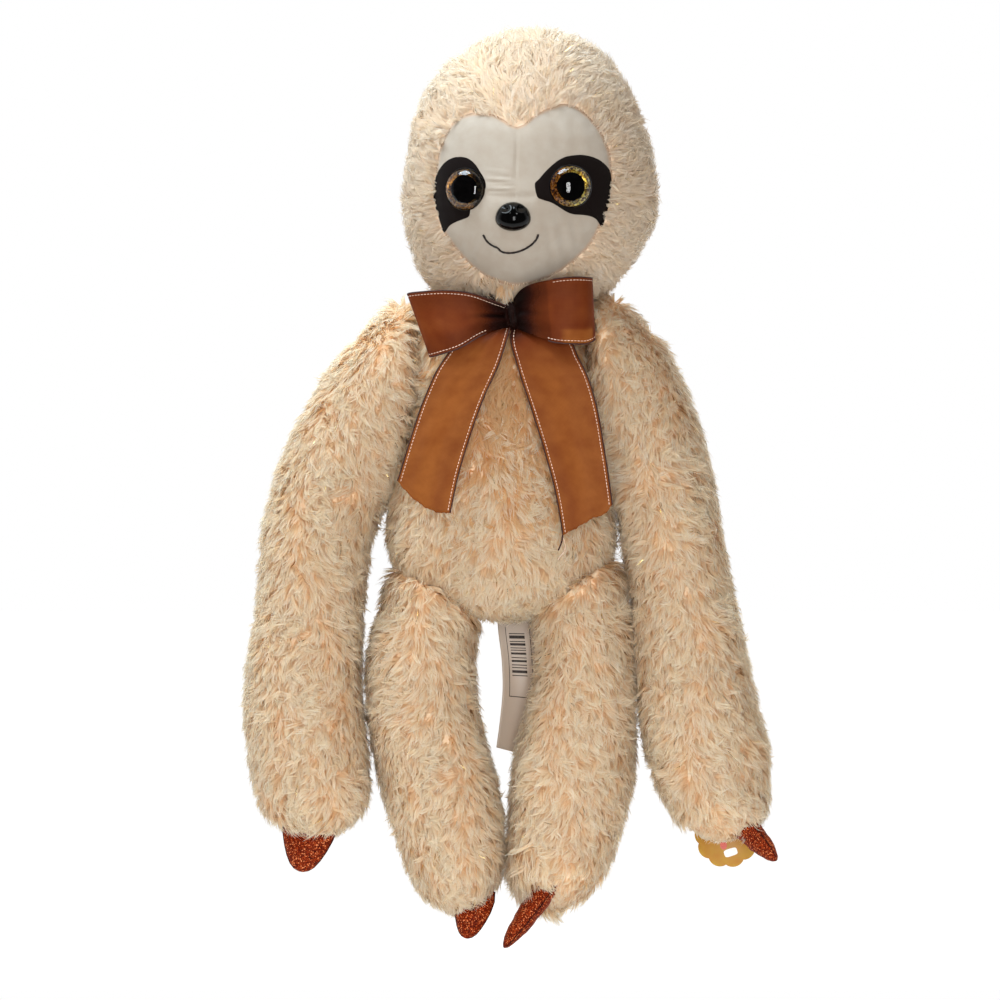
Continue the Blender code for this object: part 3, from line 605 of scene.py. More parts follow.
class SLOTH_OT_fur(bpy.types.Operator):
    """Makes the sewn skins and grows the long pile on them."""

    bl_idname = "sloth.fur"
    bl_label = "Fur"

    def execute(self, context):
        settings = context.scene.sloth_fur
        backing = fur_cloth("Knitted polyester backing", "#F5DABA", "#FAE8CE")
        pale_backing = fur_cloth("Pale knitted polyester backing", "#F0D8BE", "#F8E6D2")
        body_pile = fur_pile("Cream polyester pile", settings, PILE["torso"][2])
        head_pile = fur_pile("Pale cream polyester pile", settings, PILE["head"][2])
        tinsel = tinsel_film()
        for number, body in enumerate(FURRY):
            skin = skin_of(body)
            skin.data.materials.clear()
            skin.data.materials.append(pale_backing if body == "head" else backing)
            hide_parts(body)
            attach(skin, body)
            random = np.random.default_rng(100 + number)
            locks = pile_locks(body, skin, settings.lock_spacing, random)
            pile = head_pile if body == "head" else body_pile
            per_lock = STRANDS_IN_LOCK * (2 * (len(STRAND_STEPS) - 2) + 1)
            parts = math.ceil(len(locks[0]) * per_lock / MOST_TRIANGLES)
            order = np.array_split(np.argsort(-locks[0][:, 2], kind="stable"), parts)
            for part, chosen in enumerate(order):
                some = [values[chosen] for values in locks]
                points, faces, uv, normals = grow(body, some, settings.strand_width, random)
                self.fit(mesh_piece(f"fur_{body}_{part + 1}", points, faces, pile, uv, normals),
                         body)
            few = random.permutation(len(locks[0]))[:PILE[body][3]]
            points, faces, uv, _ = grow(body, [values[few] for values in locks],
                                        settings.tinsel_width, random, strands=1)
            self.fit(mesh_piece("tinsel_" + body, points, faces, tinsel, uv), body)
        points, faces, uv, normals = grow("head", chin_locks(), settings.strand_width,
                                          np.random.default_rng(8), strands=6)
        self.fit(mesh_piece("fur_chin_tuft", points, faces, head_pile, uv, normals), "head")
        return {"FINISHED"}

    def fit(self, piece, body):
        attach(piece, body)


def along(rows, count):
    """Rows of numbers spread evenly on one smooth curve through these rows."""
    rows = np.array(rows, float)
    places = rows.reshape(len(rows), -1, 3).mean(axis=1) if rows.shape[1] % 3 == 0 else rows
    steps = np.linalg.norm(np.diff(places, axis=0), axis=1)
    knots = np.concatenate([[0.0], np.cumsum(steps)])
    at = np.linspace(0, knots[-1], count)
    slope = np.gradient(rows, knots, axis=0)
    low = np.clip(np.searchsorted(knots, at, side="right") - 1, 0, len(knots) - 2)
    span = np.diff(knots)[low][:, None]
    t = (at - knots[low])[:, None] / span
    return (
        rows[low] * (2 * t**3 - 3 * t**2 + 1)
        + slope[low] * span * (t**3 - 2 * t**2 + t)
        + rows[low + 1] * (3 * t**2 - 2 * t**3)
        + slope[low + 1] * span * (t**3 - t**2)
    )


def threads(name, lines, radius, material, bulges=None):
    """Threads or wires, one through the points of each line, all in one mesh."""
    curve = bpy.data.curves.new(name, "CURVE")
    curve.dimensions = "3D"
    curve.bevel_depth = radius
    curve.bevel_resolution = 1
    curve.use_fill_caps = True
    for line in lines:
        spline = curve.splines.new("POLY")
        spline.points.add(len(line) - 1)
        spline.points.foreach_set("co", np.append(line, np.ones((len(line), 1)), axis=1).ravel())
        if bulges is not None:
            spline.points.foreach_set("radius", np.resize(bulges, len(line)))
    active(added(name, curve, material))
    bpy.ops.object.convert(target="MESH")
    bpy.ops.object.shade_smooth()
    return bpy.context.active_object


def between(value, low, high, soft):
    """1 from low to high, falling softly to 0 outside."""
    rise = np.clip((value - low) / soft + 0.5, 0, 1)
    fall = np.clip((high - value) / soft + 0.5, 0, 1)
    return rise * rise * (3 - 2 * rise) * fall * fall * (3 - 2 * fall)


# Outlines on the face, x and z in millimetres.
PATCH_OUTLINES = {
    "left": [
        (-34.5, 93), (-29, 92), (-24.3, 88.2), (-20.8, 83), (-18, 78), (-17.3, 73), (-19.5, 69),
        (-23.5, 66.2), (-26.6, 63), (-27.4, 58), (-28.4, 54), (-32, 52.3), (-37, 50.4), (-41, 48),
        (-44.8, 43.3), (-46.5, 48.5), (-48.4, 54.5), (-50.4, 61), (-51.6, 68), (-51.2, 76),
        (-48.8, 83), (-44.8, 88.8), (-40, 92),
    ],
    "right": [
        (14.8, 75.5), (17.6, 78.5), (21.5, 83.1), (25.5, 87), (30, 90.6), (35, 93), (40.5, 94),
        (46, 94.2), (51.5, 93.2), (56.5, 91.2), (60.8, 88), (63.8, 84), (64.8, 78), (64.6, 70),
        (63, 61), (61, 54), (58.7, 47.2), (56.8, 50.4), (53, 53.4), (47, 54.9), (40, 55.4),
        (35, 57.2), (30, 60.4), (25, 63.2), (19.8, 64.8), (16.6, 66.4), (15.2, 70.5),
    ],
}
# The middles of the eyes, which way each looks, in degrees about Z from straight ahead, and how
# far it stands off the velour, in millimetres. The right one clears the rise to the nose.
EYES = {"left": (-30.4, 71.8), "right": (37.9, 73.6)}
EYE_TURNS = {"left": -25.0, "right": 8.0}
EYE_LIFTS = {"left": 1.0, "right": 2.2}
NOSE = (0.5, 54.6)
# The holes that the shanks go through reach less far from the middles than this.
BORE_REACH = 6.5
MOUTH = [
    (-19.1, 42), (-16.6, 37.8), (-12, 34.4), (-9.6, 33.4), (-7.4, 31.2), (-4.6, 30.3),
    (0, 30.2), (6.3, 31.8), (10.2, 33.8), (13.9, 36.7), (16.2, 39.8), (17, 42.2),
]
PANEL_LIFT = 2.7


class FaceFront:
    """The smooth front of the stuffed head: its depth y at each x and z, in millimetres."""

    step = 2.0

    def __init__(self):
        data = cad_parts["head"].data
        tree = BVHTree.FromPolygons(
            [v.co for v in data.vertices], [tuple(p.vertices) for p in data.polygons])
        self.x = np.arange(-74, 92, self.step)
        self.z = np.arange(-4, 150, self.step)
        depth = np.full((len(self.z), len(self.x)), np.nan)
        for i, z in enumerate(self.z):
            for k, x in enumerate(self.x):
                hit = tree.ray_cast(Vector((x * MM, -0.2, z * MM)), Vector((0, 1, 0)), 0.2)[0]
                bores = [math.hypot(x - a, z - b) for a, b in (*EYES.values(), NOSE)]
                if hit is not None and min(bores) > BORE_REACH:
                    depth[i, k] = hit.y / MM
        known = ~np.isnan(depth)
        depth = np.where(known, depth, 0.0)
        rough = self.softened(depth, known, 7.0)
        self.depth = rough + self.softened((depth - rough) * known, known, 5.0)

    def softened(self, depth, known, reach):
        """The known depths, averaged over their neighbours within reach."""
        down, over = (np.exp(-((axis[:, None] - axis[None, :]) / reach) ** 2 / 2)
                      for axis in (self.z, self.x))
        weight = down @ known @ over
        return (down @ (depth * known) @ over) / np.maximum(weight, 1e-6)

    def y(self, x, z):
        at_x = np.clip((x - self.x[0]) / self.step, 0, len(self.x) - 1.001)
        at_z = np.clip((z - self.z[0]) / self.step, 0, len(self.z) - 1.001)
        k, i = at_x.astype(int), at_z.astype(int)
        u, v = at_x - k, at_z - i
        low = self.depth[i, k] * (1 - u) + self.depth[i, k + 1] * u
        high = self.depth[i + 1, k] * (1 - u) + self.depth[i + 1, k + 1] * u
        return low * (1 - v) + high * v

    def normal(self, x, z):
        slope_x = (self.y(x + 2.0, z) - self.y(x - 2.0, z)) / 4.0
        slope_z = (self.y(x, z + 2.0) - self.y(x, z - 2.0)) / 4.0
        return unit(np.stack([slope_x, -np.ones_like(slope_x), slope_z], axis=1))

    def point(self, x, z, lift):
        """Places in metres, lifted off the head by so many millimetres, straight forwards."""
        x, z = np.asarray(x, float), np.asarray(z, float)
        forwards = np.maximum(-self.normal(x, z)[:, 1], 0.55)
        return np.stack([x, self.y(x, z) - lift / forwards, z], axis=1) * MM


@functools.cache
def face_front():
    """The one smooth front that the panel, the eyes, the nose and the mouth lie on."""
    return FaceFront()


def edge_distance(outline, x, z):
    """How far each place lies from an outline."""
    loop = smooth_loop(outline, 400)
    step = [np.min(np.hypot(x[:, None] - loop[None, k::4, 0], z[:, None] - loop[None, k::4, 1]),
                   axis=1) for k in range(4)]
    return np.min(step, axis=0)


def face_lift(x, z):
    """How far the velour of the face stands off the head, with its dart and small folds."""
    inward = edge_distance(FACE_OUTLINE, x, z)
    lift = -0.4 + (PANEL_LIFT + 0.4) * (1 - np.exp(-inward / 3.2))
    turn = np.arctan2(z - FACE_CENTRE[1], x - FACE_CENTRE[0])
    gathers = np.sin(43 * turn) + 0.6 * np.sin(27 * turn + 1.3)
    lift += 0.28 * gathers * np.exp(-inward / 4.5) * (1 - np.exp(-inward / 1.0))
    dart = x - 3.3 + (113 - z) * 0.035
    lift -= 0.75 * np.exp(-(dart / 1.1) ** 2) * between(z, 66, 112, 8)
    wrinkle = np.sin(2 * math.pi * (z + 0.12 * x) / 5.4) + 0.5 * np.sin(2 * math.pi * z / 3.1)
    lift += 0.3 * wrinkle * between(x, -17, -1, 8) * between(z, 66, 84, 9)
    brow = 66.5 + 0.006 * (x - 1) ** 2 - z
    lift -= 1.0 * np.exp(-(brow / 1.9) ** 2) * between(x, -19, 15, 8)
    cheek = np.sin(2 * math.pi * (x + 0.2 * (z - 35)) / 9.0)
    lift += 0.45 * cheek * between(x, 20, 46, 12) * between(z, 20, 50, 14)
    jowl = np.sin(2 * math.pi * (x - 0.3 * z) / 11.0)
    lift += 0.4 * jowl * between(x, -34, -12, 10) * between(z, 18, 40, 14)
    forehead = np.sin(2 * math.pi * (x + 0.15 * z) / 12.0)
    return lift + 0.15 * forehead * between(x, 16, 56, 14) * between(z, 96, 120, 12)


def velour(name, colour, seam_colour, nap, sheen):
    """Knitted polyester velour: a short nap, soft to light and paler where it is brushed."""
    made, tree, shader = new_material(name, Roughness=0.92, Specular_IOR_Level=0.08,
                                      Sheen_Weight=sheen, Sheen_Roughness=0.5)
    place = add_node(tree, "ShaderNodeTexCoord").outputs["Object"]
    brushed = add_node(tree, "ShaderNodeTexNoise", [("Vector", place)], Scale=95.0, Detail=3.0)
    pile = add_node(tree, "ShaderNodeTexNoise", [("Vector", place)], Scale=1400.0, Detail=2.0)
    tone = add_node(tree, "ShaderNodeValToRGB", [("Fac", brushed.outputs["Fac"])], [
        (0.35, "#F7F4F1"), (0.65, "#FFFFFF")])
    seam = add_node(tree, "ShaderNodeAttribute", attribute_name="seam")
    base = add_node(tree, "ShaderNodeValToRGB", [("Fac", seam.outputs["Fac"])], [
        (0.0, seam_colour), (0.3, colour)])
    worn = add_node(tree, "ShaderNodeMix", [(6, base.outputs["Color"]),
                                            (7, tone.outputs["Color"])], **MULTIPLY)
    tree.links.new(worn.outputs[2], shader.inputs["Base Color"])
    bump = add_node(tree, "ShaderNodeBump", [("Height", pile.outputs["Fac"])],
                    Strength=nap, Distance=0.25 * MM)
    tree.links.new(bump.outputs["Normal"], shader.inputs["Normal"])
    return made


def face_cloth(name, outline, lift, rings, around, material, thickness, reach):
    """A cloth piece of the face inside its outline, with its distance from the seam kept."""
    loop = smooth_loop(outline, around)
    middle = loop.mean(axis=0)
    share = 1 - (1 - np.linspace(0, 1, rings + 1)[1:]) ** 1.5
    flat = middle + (loop - middle)[None] * share[:, None, None]
    flat = np.append(flat.reshape(-1, 2), [middle], axis=0)
    x, z = flat.T
    points = face_front().point(x, z, lift(x, z))
    ring, spoke = np.meshgrid(np.arange(rings - 1), np.arange(around), indexing="ij")
    a = ring * around + spoke
    b = ring * around + (spoke + 1) % around
    quads = np.stack([a, a + around, b + around, b], axis=2).reshape(-1, 4)
    piece = mesh_piece(name, points, quads, material)
    centre = len(points) - 1
    fan = bmesh.new()
    fan.from_mesh(piece.data)
    fan.verts.ensure_lookup_table()
    for k in range(around):
        face = fan.faces.new([fan.verts[i] for i in (centre, k, (k + 1) % around)])
        face.smooth = True
    bmesh.ops.recalc_face_normals(fan, faces=fan.faces)
    if sum(face.normal.y for face in fan.faces) > 0:
        bmesh.ops.reverse_faces(fan, faces=fan.faces)
    fan.to_mesh(piece.data)
    fan.free()
    seam = piece.data.attributes.new("seam", "FLOAT", "POINT")
    seam.data.foreach_set("value", np.clip(edge_distance(outline, x, z) / reach, 0, 1))
    apply_modifier(piece, "SOLIDIFY", thickness=thickness, offset=-1.0)
    return piece


class SLOTH_OT_face(bpy.types.Operator):
    """Makes the velour face, its dark eye patches and the stitched mouth."""

    bl_idname = "sloth.face"
    bl_label = "Face"

    def execute(self, context):
        settings = context.scene.sloth_face
        pale = velour("Cream polyester velour", settings.velour, hexed("#C9A88D"), 0.35, 0.1)
        dark = velour("Dark brown polyester velour", settings.patch, settings.patch, 0.5, 0.02)
        self.sew(face_cloth("face_velour", FACE_OUTLINE, face_lift, 44, 190, pale, 0.9 * MM, 9.0),
                 "face_panel", "face_velour")
        for side, outline in PATCH_OUTLINES.items():
            def lift(x, z):
                return face_lift(x, z) + 0.1 + 0.5 * (1 - np.exp(-edge_distance(outline, x, z)))
            self.sew(face_cloth("velour_patch_" + side, outline, lift, 16, 110, dark, 0.4 * MM,
                                4.0), "eye_patch_" + side, "dark_velour")
        self.mouth()
        return {"FINISHED"}

    def sew(self, piece, node, slot):
        """Fits a cloth piece to the head, cut a little larger than it shows."""
        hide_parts(node)
        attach(piece, "head")

    def mouth(self):
        """A backstitched line, each stitch a little fuller in its middle."""
        x, z = along(MOUTH, 14 * 5 + 1).T
        thread = two_toned("Waxed black-brown thread", "#0E0908", "#2A1C19",
                           {"Scale": 260.0, "bands_direction": "DIAGONAL"}, (0.0, 1.0),
                           "ShaderNodeTexWave", Roughness=0.55)
        mouth = threads("mouth_thread", [face_front().point(x, z, face_lift(x, z) + 0.35)],
                        0.78 * MM, thread, np.array([0.8, 0.95, 1.0, 1.0, 0.95]))
        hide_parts("mouth_stitching")
        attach(mouth, "head")


def facing(normal):
    """The turn that takes a piece's own Z axis to this direction."""
    return Vector(normal).to_track_quat("Z", "Y").to_matrix().to_4x4()


def spun(name, profile, steps, material, place):
    """A turned piece: a profile of (radius, height) in millimetres, spun and closed."""
    mesh = bpy.data.meshes.new(name)
    points = [(radius * MM, 0, height * MM) for radius, height in profile]
    mesh.from_pydata(points, [(k, k + 1) for k in range(len(points) - 1)], [])
    piece = added(name, mesh, material)
    edited(piece,
           (bpy.ops.mesh.spin,
            {"steps": steps, "angle": 2 * math.pi, "center": (0, 0, 0), "axis": (0, 0, 1)}),
           (bpy.ops.mesh.remove_doubles, {"threshold": 0.005 * MM}),
           (bpy.ops.mesh.normals_make_consistent, {"inside": False}))
    bpy.ops.object.shade_smooth_by_angle(angle=math.radians(35))
    piece.data.transform(place)
    return piece


class SLOTH_OT_eyes(bpy.types.Operator):
    """Makes the safety eyes: a black cup, a glitter ring, a pupil and a clear dome."""

    bl_idname = "sloth.eyes"
    bl_label = "Eyes"

    def execute(self, context):
        settings = context.scene.sloth_face
        # Polished, so it shows only reflections.
        black = two_toned("Moulded black acrylic", "#050404", "#0B0909", {"Scale": 300.0},
                          Roughness=0.12)
        # Sealed under the dome, so it has no shine of its own.
        matte = two_toned("Black lacquer", "#030202", "#080606", {"Scale": 250.0}, Roughness=0.9,
                          Specular_IOR_Level=0.0)
        # It bends light and shows the ring larger.
        clear = two_toned("Clear polished acrylic", "#FBFBF8", "#FFFFFF", {"Scale": 120.0},
                          Roughness=0.0, IOR=1.49, Transmission_Weight=1.0,
                          Specular_IOR_Level=0.3)
        ring = self.glitter()
        radius, pupil = settings.eye / 2 / MM, settings.pupil / 2 / MM
        inner, foot, height = radius - 0.72, 1.3, 6.8
        arc = np.radians(np.linspace(0, 90, 17))[:-1]
        profiles = {
            "cup": (56, black, [
                (0, -6.5), (radius - 1.6, -6.5), (radius, -5.0), (radius, 1.0),
                (radius - 0.25, 1.35), (radius - 0.6, 1.2), (radius - 0.7, 0.5), (0, 0.5)]),
            "glitter": (56, ring, [
                (0, 0.4), (radius - 0.75, 0.4), (radius - 0.75, 1.15), (pupil + 0.3, 0.85),
                (0, 0.85)]),
            "pupil": (48, matte, [
                (0, 0.6), (pupil - 0.15, 0.6), (pupil, 0.75), (pupil, 0.95), (pupil - 0.2, 1.05),
                (0, 1.05)]),
            "dome": (64, clear, [
                (0, 0.2), (inner, 0.2),
                *((float(inner * math.cos(a)), float(foot + height * math.sin(a))) for a in arc),
                (0, foot + height)]),
        }
        for side, (x, z) in EYES.items():
            x, z = np.array([x]), np.array([z])
            ahead = Matrix.Rotation(math.radians(EYE_TURNS[side]), 3, "Z") @ Vector((0, -1, 0))
            middle = face_front().point(x, z, face_lift(x, z) + EYE_LIFTS[side])[0]
            place = Matrix.Translation(middle) @ facing(ahead)
            for part, (steps, material, profile) in profiles.items():
                piece = spun(f"eye_{part}_{side}", profile, steps, material, place)
                if part == "cup":
                    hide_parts("eye_" + side)
                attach(piece, "head")
        return {"FINISHED"}

    def glitter(self):
        """Gold glitter set in lacquer: flakes about 0.8 mm wide, each tilted its own way.

        Their tone across X is a painted reflection of the room: the ring of the left eye is
        painted bronze, and nearly black towards the nose, where it would face the dark room. The
        right one is painted copper there and gold on its other side.
        """
        made, tree, shader = new_material("Gold glitter in lacquer", Roughness=0.28, Metallic=0.75)
        place = add_node(tree, "ShaderNodeTexCoord").outputs["Object"]
        flakes = add_node(tree, "ShaderNodeTexVoronoi", [("Vector", place)], Scale=1250.0)
        hue = add_node(tree, "ShaderNodeSeparateColor", [("Color", flakes.outputs["Color"])])
        gold = add_node(tree, "ShaderNodeValToRGB", [("Fac", hue.outputs["Red"])], [
            (0.0, "#1E1204"), (0.35, "#6A4A10"), (0.6, "#C29A28"),
            (0.85, "#F2DC62"), (0.97, "#FFF4B4")])
        # Painted reflection: a ramp along X tints the glitter bronze, near black, copper and gold.
        across = add_node(tree, "ShaderNodeSeparateXYZ", [("Vector", place)])
        share = add_node(tree, "ShaderNodeMapRange", [("Value", across.outputs["X"])],
                         clamp=True, **{"From Min": -50 * MM, "From Max": 60 * MM})
        bronze, dark, copper = "#B48E6C", "#38322F", "#F0AC7C"
        dim = add_node(tree, "ShaderNodeValToRGB", [("Fac", share.outputs["Result"])], [
            (0.0, bronze), (0.19, bronze), (0.24, dark), (0.55, dark), (0.6, copper),
            (0.73, copper), (0.82, "#FFFFFF")])
        lit = add_node(tree, "ShaderNodeMix", [(6, gold.outputs["Color"]),
                                               (7, dim.outputs["Color"])], **MULTIPLY)
        tree.links.new(lit.outputs[2], shader.inputs["Base Color"])
        bump = add_node(tree, "ShaderNodeBump", [("Height", hue.outputs["Green"])],
                        Strength=0.6, Distance=0.3 * MM)
        tree.links.new(bump.outputs["Normal"], shader.inputs["Normal"])
        return made


# The nose's widest level and its top and foot from there, the middles of its nostrils to each
# side and up, all in millimetres.
NOSE_WIDEST = -2.2
NOSE_UP, NOSE_DOWN = 11.1, 8.2
NOSTRIL = (5.3, 4.6)


class SLOTH_OT_nose(bpy.types.Operator):
    """Makes the glossy nose, wide at the top, with two nostrils."""

    bl_idname = "sloth.nose"
    bl_label = "Nose"

    def execute(self, context):
        width, depth, height = context.scene.sloth_face.nose
        base = Vector(face_front().point(*np.array(NOSE)[:, None], 2.0)[0])
        deselect()
        bpy.ops.mesh.primitive_uv_sphere_add(segments=28, ring_count=16, radius=0.5, location=base,
                                             rotation=(math.radians(90), 0, 0))
        nose = bpy.context.active_object
        nose.name = "nose_plastic"
        bpy.ops.transform.resize(value=(width, depth, height), center_override=base)
        bpy.ops.object.transform_apply(location=True, rotation=True, scale=True)
        apply_modifier(nose, "SUBSURF", levels=2, render_levels=2)
        x, y, z = (np.array([v.co for v in nose.data.vertices]) - np.array(base)).T / MM
        up = z / (height / 2 / MM)
        z = NOSE_WIDEST + np.where(up > 0, up * NOSE_UP, up * NOSE_DOWN)
        ahead = y < 0
        for side in (-1, 1):
            away = np.hypot((x - side * NOSTRIL[0]) * 0.8, z - NOSTRIL[1])
            y = y + ahead * (2.6 * np.exp(-((away / 1.8) ** 2))
                             - 0.5 * np.exp(-(((away - 3.3) / 0.8) ** 2)))
        points = np.stack([x, y, z], axis=1) * MM + np.array(base)
        nose.data.vertices.foreach_set("co", points.ravel())
        nose.data.update()
        bpy.ops.object.shade_smooth()
        # A hard gloss that mirrors the lamps small and sharp.
        nose.data.materials.append(two_toned(
            "Polished black ABS", "#030303", "#070606", {"Scale": 260.0, "Detail": 3.0},
            bump=(0.15, 0.15 * MM), Roughness=0.1, IOR=1.27))
        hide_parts("nose")
        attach(nose, "head")
        return {"FINISHED"}


# Rows of a ribbon's two edges, each x, y, z in millimetres, from the knot outwards and back.
LOOPS = {
    "left": [
        (-3.0, -55.5, -4.5, -1.5, -55.5, -18), (-14.7, -61, -0.3, -12.5, -61, -20.6),
        (-26, -66, 3.6, -21, -66, -24), (-42, -68, 5.6, -34, -69, -31.6),
        (-58, -66, 5.0, -45, -67, -35.4), (-68.5, -58, 3.2, -54, -60, -37.5),
        (-66, -53, 1.5, -53, -55, -36), (-52, -53, 3, -43, -55, -32),
        (-34, -53, 3, -31, -55, -27), (-18, -52, -1, -18, -53, -20),
        (-6, -50, -5, -6, -50, -16),
    ],
    "right": [
        (1.0, -55.5, 0.5, 0, -55.5, -18), (4.5, -60, 5.2, 7.5, -60, -21),
        (11, -64, 9.4, 18, -64, -24.8), (25, -68, 12.8, 27, -69, -28),
        (38.5, -68, 14.4, 39.5, -68.5, -29), (49.2, -63, 14.2, 50.2, -64, -28.5),
        (52.3, -57, 13.6, 54.2, -58, -25.5), (49.5, -53.5, 12.5, 51.5, -54.5, -23.5),
        (38, -54, 11, 40, -55, -23), (24, -54, 8, 25, -55, -20),
        (12.5, -52, 3, 12.5, -53, -17), (3, -50, -3, 3, -50, -14),
    ],
}
TAILS = {
    "left": [
        (-13, -54, -19, -1, -55, -17), (-33, -60, -27, -3, -60, -24),
        (-45, -64, -40, -8, -64, -40), (-57, -66, -64, -19, -67, -65),
        (-66, -67, -90, -28.5, -69, -92), (-73.4, -67, -114, -36.5, -69, -120),
        (-75, -67, -118.5, -40.6, -69, -139.5),
    ],
    "right": [
        (10, -53, -18, 0, -54, -18), (32, -59, -22, -1, -58, -26), (44, -64, -40, 3, -62, -42),
        (54.5, -67, -68, 14, -65, -76), (60, -68, -98, 22, -67, -102),
        (64, -68, -124, 29.5, -68, -132), (65.2, -68, -134, 33.2, -68, -154),
    ],
}
# The wire runs on past the cut of the right tail, where a thread has worked loose and curls.
LOOSE_WIRE = [(33.0, -68, -153.5), (32.3, -69, -158), (30.0, -69.5, -164)]
LOOSE_THREAD = [(33.2, -68.5, -156), (34.6, -69, -160), (34.3, -69, -164), (31.6, -69, -167.5),
                (29.8, -69, -170)]
# How far from the knot each loop's folds lie on one another, in millimetres, where the folds and
# # painted shade darken it, how far from it the upper and the lower edge are folded in, and how
# # much painted shade darkens the crease along the middle.
REACH_OF_FOLDS = {"left": 17.0, "right": 12.0}
FOLDED_EDGES = {"left": (0.0, 17.0), "right": (25.0, 17.0)}
CREASE_SHADE = {"left": 0.22, "right": 0.08}
# The steps across every strip of ribbon.
ACROSS = 26


def strip_grid(rows, count, across):
    """Places on a strip of cloth between two edges, and the shares of its width and length."""
    read = along(rows, count)
    s, t = np.linspace(0, 1, across + 1)[None, :], np.linspace(0, 1, count)[:, None]
    return read[:, None, :3] * (1 - s[:, :, None]) + read[:, None, 3:] * s[:, :, None], s, t


def run_of(line):
    """How far along a line each of its points lies."""
    return np.concatenate([[0], np.cumsum(np.linalg.norm(np.diff(line, axis=0), axis=1))])


def strip_piece(name, grid, material, thickness, depth=0.0):
    """A cloth strip with a wall, a UV map along and across its weave, and its depth of colour from
    layers and painted shade.
    """
    rows, columns = grid.shape[:2]
    i, k = np.meshgrid(np.arange(rows - 1), np.arange(columns - 1), indexing="ij")
    a = i * columns + k
    quads = np.stack([a, a + 1, a + columns + 1, a + columns], axis=2).reshape(-1, 4)
    piece = mesh_piece(name, grid.reshape(-1, 3) * MM, quads, material)
    uv = np.stack([np.broadcast_to(run_of(grid[:, columns // 2])[:, None] / 38.0, (rows, columns)),
                   np.broadcast_to(np.linspace(0, 1, columns), (rows, columns))], axis=2)
    layer = piece.data.uv_layers.new(name="weave")
    layer.uv.foreach_set("vector", uv.reshape(-1, 2)[quads.ravel()].ravel().astype(np.float32))
    gather_and_shade = piece.data.attributes.new("gather_and_shade", "FLOAT", "POINT")
    gather_and_shade.data.foreach_set("value", np.broadcast_to(depth, (rows, columns)).ravel())
    apply_modifier(piece, "SOLIDIFY", thickness=thickness, offset=0.0)
    return piece


def strip_line(grid, share):
    """The line along a strip at a share of its width: one share, or one for each row."""
    at = np.broadcast_to(share, len(grid)) * (grid.shape[1] - 1)
    low = np.minimum(at.astype(int), grid.shape[1] - 2)
    row, part = np.arange(len(grid)), (at - low)[:, None]
    return grid[row, low] * (1 - part) + grid[row, low + 1] * part


def evenly(line, gap):
    """The same line with points about so far apart."""
    run = run_of(line)
    at = np.linspace(0, run[-1], max(2, int(run[-1] / gap)))
    return np.stack([np.interp(at, run, line[:, i]) for i in range(3)], axis=1)


